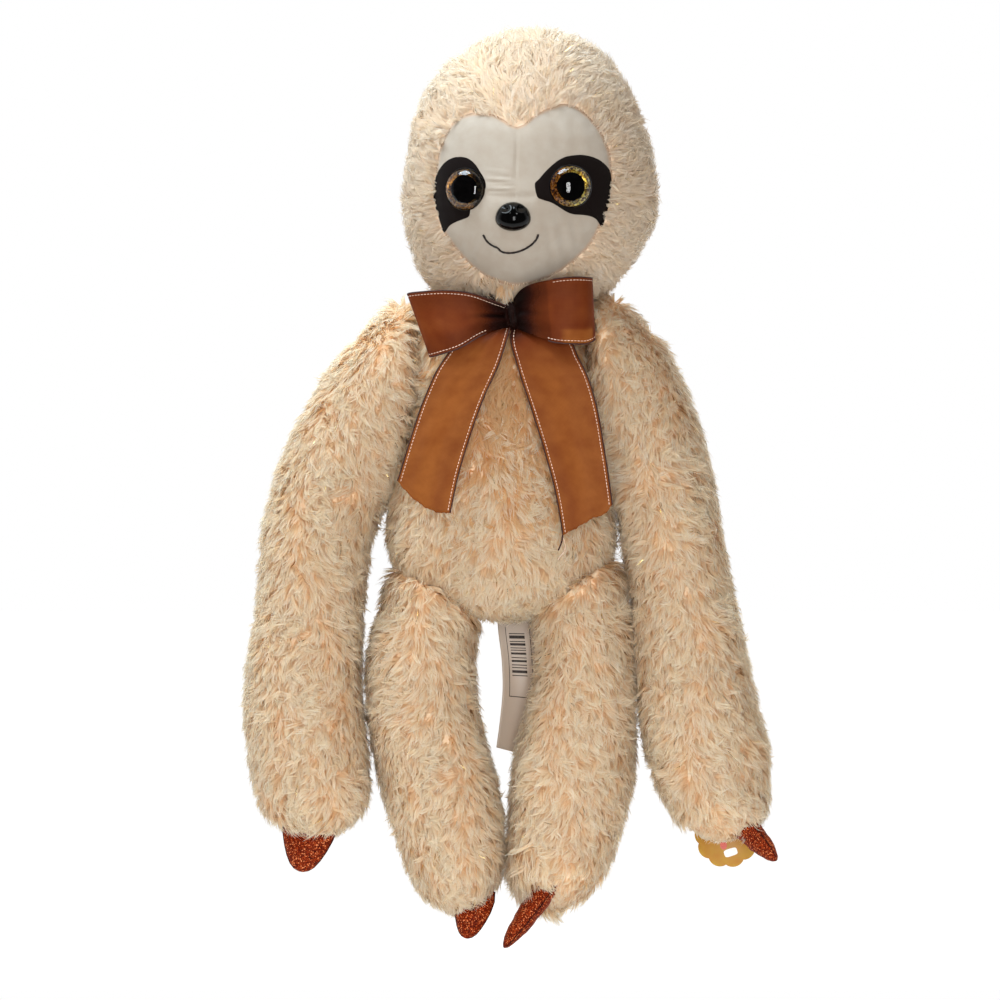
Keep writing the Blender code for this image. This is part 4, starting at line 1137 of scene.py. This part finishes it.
class SLOTH_OT_bow(bpy.types.Operator):
    """Makes the organza bow with its wired edges and stitches, and the turn round the neck."""

    bl_idname = "sloth.bow"
    bl_label = "Bow"

    def execute(self, context):
        settings = context.scene.sloth_ribbon
        self.organza = self.sheer(settings)
        # A fine wire bound in dark thread.
        self.wire = two_toned("Thread-bound ribbon wire", "#2A0F08", settings.edge,
                              {"Scale": 420.0}, (0.0, 1.0), "ShaderNodeTexWave", Roughness=0.6)
        # Rayon has a little shine.
        self.thread = two_toned("Pale rayon thread", "#E0BBA4", "#FBE6D8", {"Scale": 500.0},
                                Roughness=0.4)
        for side in LOOPS:
            self.loop(side)
        for side in TAILS:
            self.tail(side)
        self.knot()
        self.neck()
        return {"FINISHED"}

    def loop(self, side):
        """A loop that is pleated into the knot, with a crease along its middle."""
        grid, s, t = strip_grid(LOOPS[side], 110, ACROSS)
        out = np.abs(grid[:, :, 0] - LOOPS[side][0][0])
        pleats = 2.0 * np.exp(-out / 13) * np.sin(2 * math.pi * 2.5 * s + 0.6)
        sway = 1.5 * np.sin(2 * math.pi * s) * np.sin(math.pi * t)
        ripple = 0.5 * np.sin(2 * math.pi * (t * 3.2 + s * 0.7)) * np.sin(math.pi * s)
        grid[:, :, 1] += pleats * np.sin(math.pi * s) + (sway if side == "left" else -sway)
        grid[:, :, 1] += ripple
        # Darker towards the knot, partly for the folds that lie on one another there and partly as
        # painted shade; the crease along the middle is painted shade.
        depth = 0.5 + 0.45 * np.exp(-((out / REACH_OF_FOLDS[side]) ** 2))
        crease = np.exp(-(((s - 0.52) / 0.07) ** 2)) * np.exp(-((out - 6) / 20) ** 2)
        depth = depth + 0.05 * np.sin(9 * s) + CREASE_SHADE[side] * crease
        if side == "right":
            # It is folded over near the knot, and the fur shows through one layer at its corner.
            depth = depth + 0.1 * between(out - 4 * s, 0, 21, 2)
            single = between(s, 0.78, 2, 0.06) * between(out, 32, 90, 6) * (t < 0.5)
            depth = np.maximum(depth - 0.5 * single, 0)
        self.ribbon("bow_ribbon_loop_" + side, grid, depth, "bow_loop_" + side, "gathered",
                    None, FOLDED_EDGES[side])

    def tail(self, side):
        """A tail that hangs from the knot and is cut with a slanted, slightly frayed end."""
        grid, s, t = strip_grid(TAILS[side], 90, ACROSS)
        sway = 1.3 * np.sin(2 * math.pi * s + (0.5 if side == "left" else 2.2))
        pleats = 1.6 * np.sin(2 * math.pi * 2.5 * s) * np.exp(-t / 0.12)
        grid[:, :, 1] += (sway * np.sin(math.pi * t * 0.8) + pleats) * np.sin(math.pi * s)
        grid[:, :, 1] += 0.5 * np.sin(2 * math.pi * (2.3 * t + 0.5 * s))
        cut = np.clip((t - 0.82) / 0.18, 0, 1) ** 2
        ragged = 0.35 * np.sin(27 * s) + 0.25 * np.sin(61 * s + 1)
        if side == "left":
            bulge = 6.2 * np.sin(math.pi * s) ** 0.8
        else:
            bulge = 2.8 * np.exp(-(((s - 0.16) / 0.14) ** 2)) + np.sin(math.pi * s)
        grid[:, :, 2] -= cut * (bulge + ragged) * np.clip(np.sin(math.pi * s) * 4, 0, 1)
        # Painted shade: darker just below the knot. The right tail is also a little darker all
        # over.
        depth = 0.75 * np.exp(-((t / 0.17) ** 2)) + 0.06 * np.sin(7 * s + 3 * t)
        depth += 0.1 * (side == "right")
        self.ribbon("bow_ribbon_tail_" + side, grid, depth, "bow_tail_" + side, "hung",
                    "hip_" + side)

    def sheer(self, settings):
        """Polyester organza: a sheer plain weave, darker where two layers lie together, and with
        painted shade near the knot and along creases.
        """
        made, tree, shader = new_material("Brown polyester organza", Roughness=0.55, Alpha=0.9,
                                          Specular_IOR_Level=0.1)
        uv = add_node(tree, "ShaderNodeUVMap", uv_map="weave").outputs["UV"]
        cloudy = add_node(tree, "ShaderNodeTexNoise", [("Vector", uv)], Scale=3.2, Detail=4.0)
        base = add_node(tree, "ShaderNodeValToRGB", [("Fac", cloudy.outputs["Fac"])], [
            (0.3, "#E2D2C8"), (0.7, "#FFFFFF")]).outputs["Color"]
        # Weft threads lie about 0.2 mm apart, too fine to show, so they are drawn 0.8 mm apart.
        for way in ("X", "Y"):
            yarn = add_node(tree, "ShaderNodeTexWave", [("Vector", uv)], Scale=15.0,
                            Distortion=0.6, bands_direction=way)
            tone = add_node(tree, "ShaderNodeValToRGB", [("Fac", yarn.outputs["Fac"])], [
                (0.0, "#E6DAD4"), (1.0, "#FFFFFF")])
            base = add_node(tree, "ShaderNodeMix", [(6, base), (7, tone.outputs["Color"])],
                            **MULTIPLY | {"Factor": 0.5}).outputs[2]
        gather_and_shade = add_node(tree, "ShaderNodeAttribute", attribute_name="gather_and_shade")
        # Higher values are layers of cloth and painted shade; the nearly black end is the knot's
        # painted shade.
        dye = add_node(tree, "ShaderNodeValToRGB", [("Fac", gather_and_shade.outputs["Fac"])], [
            (0.0, settings.colour), (0.5, "#7A3B18"), (0.85, "#2C0D05"),
            (1.0, "#120402")])
        dyed = add_node(tree, "ShaderNodeMix", [(6, base), (7, dye.outputs["Color"])], **MULTIPLY)
        tree.links.new(dyed.outputs[2], shader.inputs["Base Color"])
        return made

    def ribbon(self, name, grid, depth, node, held, joint, folded=(0.0, 0.0)):
        """One stretch of the ribbon with a wired edge and a row of stitches on each side."""
        cloth = strip_piece(name, grid, self.organza, 0.3 * MM, depth)
        width = np.linalg.norm(grid[:, -1] - grid[:, 0], axis=1)
        # The stitches run 1.9 mm inside the edge, each on 4 points 0.55 mm apart.
        inset = np.clip(1.9 / np.maximum(width, 8), 0, 0.3)
        wires, stitches = [], []
        for edge in (0, 1):
            shown = np.abs(grid[:, 0, 0] - grid[0, 0, 0]) >= folded[edge]
            wires.append(evenly(strip_line(grid, edge)[shown], 2.0) * MM)
            line = evenly(strip_line(grid, abs(edge - inset))[shown], 0.55)
            stitches += [line[k:k + 4] * MM for k in range(0, len(line) - 4, 4)]
        if node == "bow_tail_right":
            wires[1] = np.append(wires[1][:-1], along(LOOSE_WIRE, 8) * MM, axis=0)
            stitches.append(along(LOOSE_THREAD, 14) * MM)
        wire = threads(name + "_wire", wires, 0.5 * MM, self.wire)
        sewn = threads(name + "_stitches", stitches, 0.3 * MM, self.thread,
                       [0.6, 1.0, 1.0, 0.5])
        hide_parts(node)
        for piece in (cloth, wire, sewn):
            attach(piece, "torso")
            if joint:
                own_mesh(piece)

    def knot(self):
        """The turn of ribbon that holds the bow: pinched, with gathers that fan out of it."""
        deselect()
        centre = Vector((0.3, -53.5, -10.8)) * MM
        bpy.ops.mesh.primitive_uv_sphere_add(segments=64, ring_count=32, radius=1.0,
                                             location=centre)
        knot = bpy.context.active_object
        knot.name = "bow_ribbon_knot"
        bpy.ops.transform.resize(value=(7.6 * MM, 6.6 * MM, 9.4 * MM), center_override=centre)
        bpy.ops.object.transform_apply(location=True, rotation=True, scale=True)
        x, y, z = (np.array([v.co for v in knot.data.vertices]) - np.array(centre)).T / MM
        turn = np.arctan2(y, x)
        pinch = 1 - 0.16 * np.exp(-(z / 3.5) ** 2)
        gather_and_shade = 1 + 0.07 * np.sin(9 * turn + 0.25 * z) * np.clip(1 - np.abs(z) / 12, 0, 1)
        gather_and_shade += 0.04 * np.sin(17 * turn - 0.4 * z)
        points = np.stack([x * pinch * gather_and_shade, y * pinch * gather_and_shade, z], axis=1) * MM
        knot.data.vertices.foreach_set("co", (points + np.array(centre)).ravel())
        knot.data.uv_layers.active.name = "weave"
        # Painted shade: the knot is coloured nearly black, a little more or less on its folds.
        kept = knot.data.attributes.new("gather_and_shade", "FLOAT", "POINT")
        kept.data.foreach_set("value", np.clip(0.97 + 0.6 * (gather_and_shade - 1), 0.8, 1.0))
        bpy.ops.object.shade_smooth()
        knot.data.materials.append(self.organza)
        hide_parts("bow_knot")
        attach(knot, "torso")

    def neck(self):
        """The ribbon's turn round the neck, gathered narrow under the pile."""
        turn = np.linspace(0, 2 * math.pi, 181)
        share = np.linspace(0, 1, 15)
        folds = 0.9 * np.sin(2 * math.pi * 3 * share)[None, :]
        folds = folds + 0.4 * np.sin(5 * turn)[:, None]
        x = -6 + (49.2 + folds) * np.cos(turn)[:, None]
        y = (43.2 + folds) * np.sin(turn)[:, None]
        z = np.broadcast_to(2.0 - 10.5 * share, x.shape)
        band = strip_piece("neck_ribbon_turn", np.stack([x, y, z], axis=2), self.organza,
                           0.3 * MM, depth=0.85)
        edited(band, (bpy.ops.mesh.remove_doubles, {"threshold": 0.05 * MM}))
        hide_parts("neck_ribbon")
        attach(band, "torso")


# Each claw: root, tip, width and thickness at the root, the turn of its flat side about its
# length in degrees, and the body that carries it. At 0 the flat side faces the front.
CLAWS = {
    "hand_claw_left": ((-130.5, -3, -334), (-138.5, -6, -374.4), 37, 14, 8, "arm_left"),
    "hand_claw_right": ((143, -3, -335), (173.2, -8, -367), 29, 15.5, 68, "arm_right"),
    "foot_claw_left": ((-23, -4, -386), (-30, -14, -418), 27, 13, 14, "leg_left"),
    "foot_claw_right": ((27.5, -17, -378), (-5.5, -14, -424), 28, 14, 74, "leg_right"),
}
# The share of a claw's length, of its width and of its thickness.
CLAW_ROWS = [
    (0, 0.92, 0.8), (0.2, 1, 1), (0.42, 0.93, 1), (0.62, 0.78, 0.92), (0.78, 0.62, 0.76),
    (0.9, 0.45, 0.52), (0.97, 0.27, 0.3), (1, 0.08, 0.08),
]
CLAW_STEPS, CLAW_CORNERS = 40, 64


class SLOTH_OT_claws(bpy.types.Operator):
    """Makes the padded claws: two leaves of glitter cloth sewn together at their edge."""

    bl_idname = "sloth.claws"
    bl_label = "Claws"

    def execute(self, context):
        cloth = self.glitter_cloth(context.scene.sloth_claws)
        for number, (name, claw) in enumerate(CLAWS.items()):
            piece = self.leaf(name + "_cloth", claw, cloth, number)
            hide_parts(name)
            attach(piece, claw[5])
        return {"FINISHED"}

    def leaf(self, name, claw, cloth, seed):
        """A stuffed leaf: rings of points from root to tip, drawn in along the seam."""
        root, tip = Vector(claw[0]), Vector(claw[1])
        width, thickness, turn = claw[2:5]
        t = 1 - (1 - np.linspace(0, 1, CLAW_STEPS)) ** 1.6
        at, widths, depths = zip(*CLAW_ROWS)
        wide, thick = np.interp(t, at, widths)[:, None], np.interp(t, at, depths)[:, None]
        t = t[:, None]
        ahead = (tip - root).normalized()
        across = ahead.cross(Vector((0, 1, 0))).normalized()
        across = Matrix.Rotation(math.radians(turn), 3, ahead) @ across
        through = ahead.cross(across)
        angle = np.linspace(0, 2 * math.pi, CLAW_CORNERS, endpoint=False)
        side, rise = np.cos(angle), np.sin(angle)
        rise = np.sign(rise) * np.abs(rise) ** 1.15
        flange = np.exp(-(np.sin(angle) / 0.13) ** 2)
        pucker = 1 + 0.05 * np.sin(46 * t + 3 * seed + 2 * np.sign(rise)) * np.abs(side)
        pucker = pucker + 0.04 * np.sin(19 * t + seed + 1.3 * np.sign(rise))
        groove = 0.45 * flange * thick
        wide = side * (width / 2 * wide - 0.8) + np.sign(side) * 0.8 * flange
        thick = rise * thickness / 2 * thick * pucker
        thick = thick - np.sign(rise) * np.minimum(groove, np.abs(thick))
        points = (np.array(root) + t[:, :, None] * np.array(tip - root)
                  + wide[:, :, None] * np.array(across) + thick[:, :, None] * np.array(through))
        points = np.append(points.reshape(-1, 3), [root, tip], axis=0)
        ring = [(k, (k + 1) % CLAW_CORNERS) for k in range(CLAW_CORNERS)]
        rows = range(0, (CLAW_STEPS - 1) * CLAW_CORNERS, CLAW_CORNERS)
        faces = [(i + a, i + b, i + b + CLAW_CORNERS, i + a + CLAW_CORNERS)
                 for i in rows for a, b in ring]
        last = CLAW_STEPS * CLAW_CORNERS
        for a, b in ring:
            faces.append((last, b, a))
            faces.append((last + 1, last - CLAW_CORNERS + a, last - CLAW_CORNERS + b))
        mesh = bpy.data.meshes.new(name)
        mesh.from_pydata(points * MM, [], faces)
        piece = added(name, mesh, cloth)
        seam = mesh.attributes.new("seam", "FLOAT", "POINT")
        edge = np.tile(1 - np.exp(-(np.sin(angle) / 0.2) ** 2), CLAW_STEPS)
        seam.data.foreach_set("value", np.append(edge, [1.0, 0.0]))
        edited(piece, (bpy.ops.mesh.normals_make_consistent, {"inside": False}))
        bpy.ops.object.shade_smooth()
        return piece

    def glitter_cloth(self, settings):
        """Woven cloth coated with copper glitter: each flake catches the light its own way."""
        made, tree, shader = new_material("Copper glitter cloth", Roughness=0.6,
                                          Specular_IOR_Level=0.08)
        place = add_node(tree, "ShaderNodeTexCoord").outputs["Object"]
        flakes = add_node(tree, "ShaderNodeTexVoronoi", [("Vector", place)],
                          Scale=1.0 / settings.flake)
        hue = add_node(tree, "ShaderNodeSeparateColor", [("Color", flakes.outputs["Color"])])
        spark = add_node(tree, "ShaderNodeValToRGB", [("Fac", hue.outputs["Red"])], [
            (0.0, "#360A02"), (0.4, settings.cloth), (0.68, "#7E280A"),
            (0.88, "#AA4418"), (0.98, "#E48A58")])
        # Painted shade: the glitter darkens along the seam's crease.
        seam = add_node(tree, "ShaderNodeAttribute", attribute_name="seam")
        shade = add_node(tree, "ShaderNodeValToRGB", [("Fac", seam.outputs["Fac"])], [
            (0.0, "#2E1A14"), (0.6, "#FFFFFF")])
        coated = add_node(tree, "ShaderNodeMix", [(6, spark.outputs["Color"]),
                                                  (7, shade.outputs["Color"])], **MULTIPLY)
        tree.links.new(coated.outputs[2], shader.inputs["Base Color"])
        bump = add_node(tree, "ShaderNodeBump", [("Height", hue.outputs["Green"])],
                        Strength=0.55, Distance=0.35 * MM)
        tree.links.new(bump.outputs["Normal"], shader.inputs["Normal"])
        return made


# Rows of the care label's two edges, each x, y, z in millimetres, from its sewn end down.
LABEL = [
    (-9.5, 27, -198.8, 18.5, 27, -196.6), (-9.5, 28, -213, 19, 30, -213),
    (-6.9, 28, -236, 20.5, 33, -237), (-6.3, 26.5, -255, 21, 35, -257),
    (-8, 25, -275, 18.5, 36, -280), (-10.4, 23, -293.3, 15.5, 36, -300.2),
]
# Plain printed bars: where each starts and ends along the label, as shares of its length, and
# the lines round them, which end along and across it.
LABEL_BARS = [
    (0.21, 0.216), (0.225, 0.246), (0.262, 0.268), (0.276, 0.292), (0.305, 0.311), (0.32, 0.326),
    (0.338, 0.352), (0.37, 0.376), (0.388, 0.402), (0.418, 0.424), (0.436, 0.442), (0.456, 0.474),
    (0.488, 0.494),
]
LABEL_LINES = [(0.17, 0.635, 0.165, 0.178), (0.17, 0.635, 0.72, 0.733), (0.63, 0.636, 0.17, 0.73)]
# The middle of the card, and the face of it that is printed.
CARD_CENTRE = (141, 34.5, -351)
CARD_FACE = 34.14


class SLOTH_OT_labels(bpy.types.Operator):
    """Makes the satin care label with plain printed bars, and the scalloped card tag."""

    bl_idname = "sloth.labels"
    bl_label = "Label and tag"

    def execute(self, context):
        settings = context.scene.sloth_labels
        self.care_label(settings)
        self.card_tag(settings)
        return {"FINISHED"}

    def care_label(self, settings):
        """A strip of satin that hangs a little cupped, with its print as a thin layer on it."""
        grid, s, t = strip_grid(LABEL, 60, 20)
        grid[:, :, 1] += 0.8 * np.sin(2 * math.pi * s) * np.sin(math.pi * t)
        grid[:, :, 1] -= 1.2 * np.sin(math.pi * s) * t
        label = strip_piece("satin_label", grid, self.satin(settings), 0.25 * MM)
        # Printed a little worn, so it isn't quite black.
        ink = two_toned("Grey-brown printing ink", "#1E1714", "#3C322D", {"Scale": 900.0},
                        (0.35, 0.7), Roughness=0.6)
        printed = [(t0, t1, 0.24, 0.6) for t0, t1 in LABEL_BARS] + LABEL_LINES
        down, over = 12, 8
        points, quads = [], []
        for t0, t1, s0, s1 in printed:
            at = np.linspace(t0, t1, down) * (len(grid) - 1)
            low, part = at.astype(int), (at % 1)[:, None, None]
            rows = grid[low] * (1 - part) + grid[low + 1] * part
            base = len(points) * down * over
            points.append(np.stack([strip_line(rows, share) for share in
                                    np.linspace(s0, s1, over)], axis=1).reshape(-1, 3))
            quads += [(a, a + over, a + over + 1, a + 1) for i in range(down - 1)
                      for a in range(base + i * over, base + i * over + over - 1)]
        points = np.concatenate(points) - [0, 0.16, 0]
        bars = mesh_piece("label_bars", points * MM, quads, ink)
        apply_modifier(bars, "SOLIDIFY", thickness=0.06 * MM, offset=0.0)
        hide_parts("care_label")
        for piece in (label, bars):
            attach(piece, "label")

    def satin(self, settings):
        """White polyester satin: long floats that give it a soft sheen along its width."""
        made, tree, shader = new_material("Printed white satin", Roughness=0.38,
                                          Sheen_Weight=0.15)
        uv = add_node(tree, "ShaderNodeUVMap", uv_map="weave").outputs["UV"]
        floats = add_node(tree, "ShaderNodeTexWave", [("Vector", uv)], Scale=24.0, Distortion=0.4,
                          bands_direction="Y")
        tone = add_node(tree, "ShaderNodeValToRGB", [("Fac", floats.outputs["Fac"])], [
            (0.0, "#F1EDE9"), (1.0, "#FFFFFF")])
        dyed = add_node(tree, "ShaderNodeMix", [(6, tone.outputs["Color"])], **MULTIPLY)
        dyed.inputs[7].default_value = settings.satin
        tree.links.new(dyed.outputs[2], shader.inputs["Base Color"])
        return made

    def card_tag(self, settings):
        """A round card with ten lobes and a punched hole, bare but for two plain shapes."""
        centre = Vector(CARD_CENTRE) * MM
        deselect()
        bpy.ops.mesh.primitive_circle_add(vertices=200, radius=settings.tag_radius,
                                          fill_type="NGON", location=centre,
                                          rotation=(math.radians(90), 0, 0))
        card = bpy.context.active_object
        card.name = "card_tag"
        bpy.ops.object.transform_apply(location=True, rotation=True, scale=True)
        for vertex in card.data.vertices:
            away = vertex.co - centre
            angle = math.atan2(away.z, away.x) + 0.35
            vertex.co = centre + away * (1 + 0.11 * abs(math.sin(5 * angle)) ** 0.7)
        apply_modifier(card, "SOLIDIFY", thickness=0.6 * MM, offset=0.0)
        apply_modifier(card, "BEVEL", width=0.12 * MM, segments=2, limit_method="ANGLE")
        deselect()
        bpy.ops.mesh.primitive_cylinder_add(
            vertices=24, radius=2.3 * MM, depth=6 * MM, location=centre + Vector((0, 0, 16 * MM)),
            rotation=(math.radians(90), 0, 0))
        punch = bpy.context.active_object
        apply_modifier(card, "BOOLEAN", operation="DIFFERENCE", object=punch)
        bpy.data.objects.remove(punch, do_unlink=True)
        active(card)
        bpy.ops.object.shade_smooth_by_angle(angle=math.radians(30))
        card.data.materials.append(self.varnished(settings, centre))
        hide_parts("swing_tag")
        window = self.printed_shape("tag_window", (143.4, -362.2), (4.4, 2.5), 18, "#FFFFFF", 4)
        spot = self.printed_shape("tag_spot", (138.6, -357.4), (2.3, 3.0), 10, "#D2452A", 2)
        for piece in (card, window, spot):
            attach(piece, "tag")

    def varnished(self, settings, centre):
        """Yellow card under a glossy varnish, a little darker at its lobes."""
        made, tree, shader = new_material("Varnished yellow card", Roughness=0.32)
        place = add_node(tree, "ShaderNodeTexCoord").outputs["Object"]
        middle = add_node(tree, "ShaderNodeMapping", [("Vector", place)],
                          Location=tuple(-centre))
        reach = add_node(tree, "ShaderNodeVectorMath", [("Vector", middle.outputs["Vector"])],
                         operation="LENGTH")
        share = add_node(tree, "ShaderNodeMath", [(0, reach.outputs["Value"])],
                         operation="MULTIPLY")
        share.inputs[1].default_value = 1 / (23 * MM)
        card = add_node(tree, "ShaderNodeValToRGB", [("Fac", share.outputs[0])], [
            (0.0, settings.card), (0.84, settings.card), (0.9, "#B98F22")])
        mottle = add_node(tree, "ShaderNodeTexNoise", [("Vector", place)], Scale=120.0)
        tone = add_node(tree, "ShaderNodeValToRGB", [("Fac", mottle.outputs["Fac"])], [
            (0.35, "#FBE7D4"), (0.6, "#FFFFFF")])
        mixed = add_node(tree, "ShaderNodeMix", [(6, card.outputs["Color"]),
                                                 (7, tone.outputs["Color"])], **MULTIPLY)
        tree.links.new(mixed.outputs[2], shader.inputs["Base Color"])
        return made

    def printed_shape(self, name, place, half, tilt, colour, squareness):
        """A flat printed shape on the front of the card, in ink under the same varnish."""
        angle = np.linspace(0, 2 * math.pi, 48, endpoint=False)
        x, z = (np.sign(wave) * np.abs(wave) ** (2 / squareness) * size
                for wave, size in ((np.cos(angle), half[0]), (np.sin(angle), half[1])))
        a = math.radians(tilt)
        points = np.stack([place[0] + x * math.cos(a) - z * math.sin(a),
                           np.full(len(angle), CARD_FACE),
                           place[1] + x * math.sin(a) + z * math.cos(a)], axis=1)
        made, tree, shader = new_material("Varnished print " + name, Roughness=0.3)
        at = add_node(tree, "ShaderNodeTexCoord").outputs["Object"]
        dots = add_node(tree, "ShaderNodeTexNoise", [("Vector", at)], Scale=700.0)
        tone = add_node(tree, "ShaderNodeValToRGB", [("Fac", dots.outputs["Fac"])], [
            (0.3, "#F2F2F2"), (0.7, "#FFFFFF")])
        inked = add_node(tree, "ShaderNodeMix", [(6, tone.outputs["Color"])], **MULTIPLY)
        inked.inputs[7].default_value = hexed(colour)
        tree.links.new(inked.outputs[2], shader.inputs["Base Color"])
        mesh = bpy.data.meshes.new(name)
        mesh.from_pydata(points * MM, [], [tuple(range(len(angle)))])
        piece = added(name, mesh, made)
        apply_modifier(piece, "SOLIDIFY", thickness=0.08 * MM, offset=0.0)
        return piece


class SLOTH_OT_hidden(bpy.types.Operator):
    """Gives the washers and the tag's fastener their plastic."""

    bl_idname = "sloth.hidden"
    bl_label = "Washers and fastener"

    def execute(self, context):
        # It comes from the mould with a faint bloom.
        plastic = two_toned("Moulded white polypropylene", "#E2E1DC", "#EEEDE8",
                            {"Scale": 200.0}, bump=(0.2, 0.1 * MM), Roughness=0.45)
        for name in ("eye_left_washer", "eye_right_washer", "nose_washer", "tag_fastener"):
            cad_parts[name].material_slots[0].material = plastic
        return {"FINISHED"}


class SLOTH_OT_stage(bpy.types.Operator):
    """Sets the camera, the lamps, the white surroundings and the floor."""

    bl_idname = "sloth.stage"
    bl_label = "Stage"

    def execute(self, context):
        settings = context.scene.sloth_stage
        scene = context.scene
        scene.view_settings.view_transform = "Standard"
        camera = bpy.data.cameras.new("camera")
        camera.lens = settings.lens
        camera.clip_end = 100.0
        scene.camera = added("camera", camera)
        away = settings.photo_width * settings.lens / camera.sensor_width
        scene.camera.location = (-0.008, -away, -0.131)
        scene.camera.rotation_euler = (math.radians(90), 0, 0)
        self.lamps()
        self.surroundings(scene)
        self.floor(settings)
        return {"FINISHED"}

    def lamps(self):
        """A tall softbox beside the camera, a cool lamp above on the left and one behind.

        A low lamp lights the chin from the front. It is kept out of the reflections.
        """
        white = (1.0, 1.0, 1.0)
        for name, place, target, width, height, power, colour in (
            ("key", (0.22, -2.25, -0.02), (0, 0, -0.08), 0.45, 1.2, 20.5, white),
            ("low", (-0.35, -1.6, -0.42), (0, 0, -0.08), 0.6, 0.3, 6.3, (1.0, 0.92, 0.82)),
            ("top", (-0.6, -0.3, 1.55), (0, 0, 0.1), 1.0, 1.0, 45.0, (0.8, 0.92, 1.0)),
            ("back", (0.4, 1.9, 1.0), (0, 0, -0.1), 1.3, 1.3, 22.0, white),
        ):
            light = bpy.data.lights.new(name, "AREA")
            light.shape = "RECTANGLE"
            light.size, light.size_y = width, height
            light.energy, light.color = power, colour
            lamp = added(name, light)
            lamp.location = place
            lamp.visible_glossy = name != "low"
            towards = Vector(target) - Vector(place)
            lamp.rotation_euler = towards.to_track_quat("-Z", "Y").to_euler()

    def surroundings(self, scene):
        """A plain white background, a soft warm light, and a dim room on the camera's side."""
        world = bpy.data.worlds.new("white surroundings")
        scene.world = world
        world.use_nodes = True
        tree = world.node_tree
        light = tree.nodes["Background"]
        light.inputs["Color"].default_value = (1, 0.93, 0.83, 1)
        light.inputs["Strength"].default_value = 0.42
        way = add_node(tree, "ShaderNodeTexCoord").outputs["Generated"]
        split = add_node(tree, "ShaderNodeSeparateXYZ", [("Vector", way)])
        behind = add_node(tree, "ShaderNodeMapRange", [("Value", split.outputs["Y"])],
                          clamp=True, **{"From Min": -0.3, "From Max": 0.2, "To Min": 0.03})
        camera = add_node(tree, "ShaderNodeLightPath").outputs["Is Camera Ray"]
        level = add_node(tree, "ShaderNodeMath", [(0, behind.outputs["Result"]), (1, camera)],
                         operation="MAXIMUM")
        plain = add_node(tree, "ShaderNodeBackground", [("Strength", level.outputs[0])],
                         Color=(1, 1, 1, 1))
        mix = add_node(tree, "ShaderNodeMixShader", [
            ("Fac", self.seen(tree)), (1, light.outputs[0]), (2, plain.outputs[0])])
        tree.links.new(mix.outputs[0], tree.nodes["World Output"].inputs["Surface"])

    def seen(self, tree):
        """1 for camera, glossy and transmission rays, 0 for the rest."""
        path = add_node(tree, "ShaderNodeLightPath")
        total = path.outputs["Is Camera Ray"]
        for name in ("Is Glossy Ray", "Is Transmission Ray"):
            total = add_node(tree, "ShaderNodeMath", [(0, total), (1, path.outputs[name])],
                             operation="MAXIMUM").outputs[0]
        return total

    def floor(self, settings):
        """A white board from just in front of the toy to far behind it."""
        deselect()
        level = CAD_BOX[0].z - settings.floor_gap
        bpy.ops.mesh.primitive_plane_add(size=60, location=(0, 29.6, level))
        floor = bpy.context.active_object
        floor.name = "floor"
        bpy.ops.object.transform_apply(location=True, rotation=True, scale=True)
        made, tree, shader = new_material("White painted board", Roughness=0.9,
                                          Base_Color=(0.86, 0.86, 0.86, 1))
        glow = add_node(tree, "ShaderNodeEmission", Color=(1, 1, 1, 1), Strength=1.25)
        faint = add_node(tree, "ShaderNodeMixShader", [
            (1, shader.outputs[0]), (2, glow.outputs[0])], Fac=0.76)
        mix = add_node(tree, "ShaderNodeMixShader", [
            ("Fac", self.seen(tree)), (1, shader.outputs[0]), (2, faint.outputs[0])])
        tree.links.new(mix.outputs[0], tree.nodes["Material Output"].inputs["Surface"])
        floor.data.materials.append(made)


class SLOTH_PT_panel(bpy.types.Panel):
    """Lists the pieces of the toy."""

    bl_label = "Plush Sloth"
    bl_idname = "SLOTH_PT_panel"
    bl_space_type = "VIEW_3D"
    bl_region_type = "UI"
    bl_category = "Plush Sloth"

    def draw(self, context):
        for operator in OPERATORS:
            self.layout.operator(operator.bl_idname)


SETTINGS = {
    "sloth_fur": FurSettings,
    "sloth_face": FaceSettings,
    "sloth_ribbon": RibbonSettings,
    "sloth_claws": ClawSettings,
    "sloth_labels": LabelSettings,
    "sloth_stage": StageSettings,
}
OPERATORS = (
    SLOTH_OT_stage, SLOTH_OT_fur, SLOTH_OT_face, SLOTH_OT_eyes, SLOTH_OT_nose, SLOTH_OT_bow,
    SLOTH_OT_claws, SLOTH_OT_labels, SLOTH_OT_hidden,
)


def register():
    for group in SETTINGS.values():
        bpy.utils.register_class(group)
    for operator in OPERATORS:
        bpy.utils.register_class(operator)
    bpy.utils.register_class(SLOTH_PT_panel)
    for name, group in SETTINGS.items():
        setattr(bpy.types.Scene, name, PointerProperty(type=group))


def unregister():
    for name in SETTINGS:
        delattr(bpy.types.Scene, name)
    bpy.utils.unregister_class(SLOTH_PT_panel)
    for made in (*OPERATORS, *SETTINGS.values()):
        bpy.utils.unregister_class(made)


def main():
    register()
    bpy.ops.sloth.stage()
    bpy.ops.sloth.fur()
    bpy.ops.sloth.face()
    bpy.ops.sloth.eyes()
    bpy.ops.sloth.nose()
    bpy.ops.sloth.bow()
    bpy.ops.sloth.claws()
    bpy.ops.sloth.labels()
    bpy.ops.sloth.hidden()


if __name__ == "__main__":
    main()
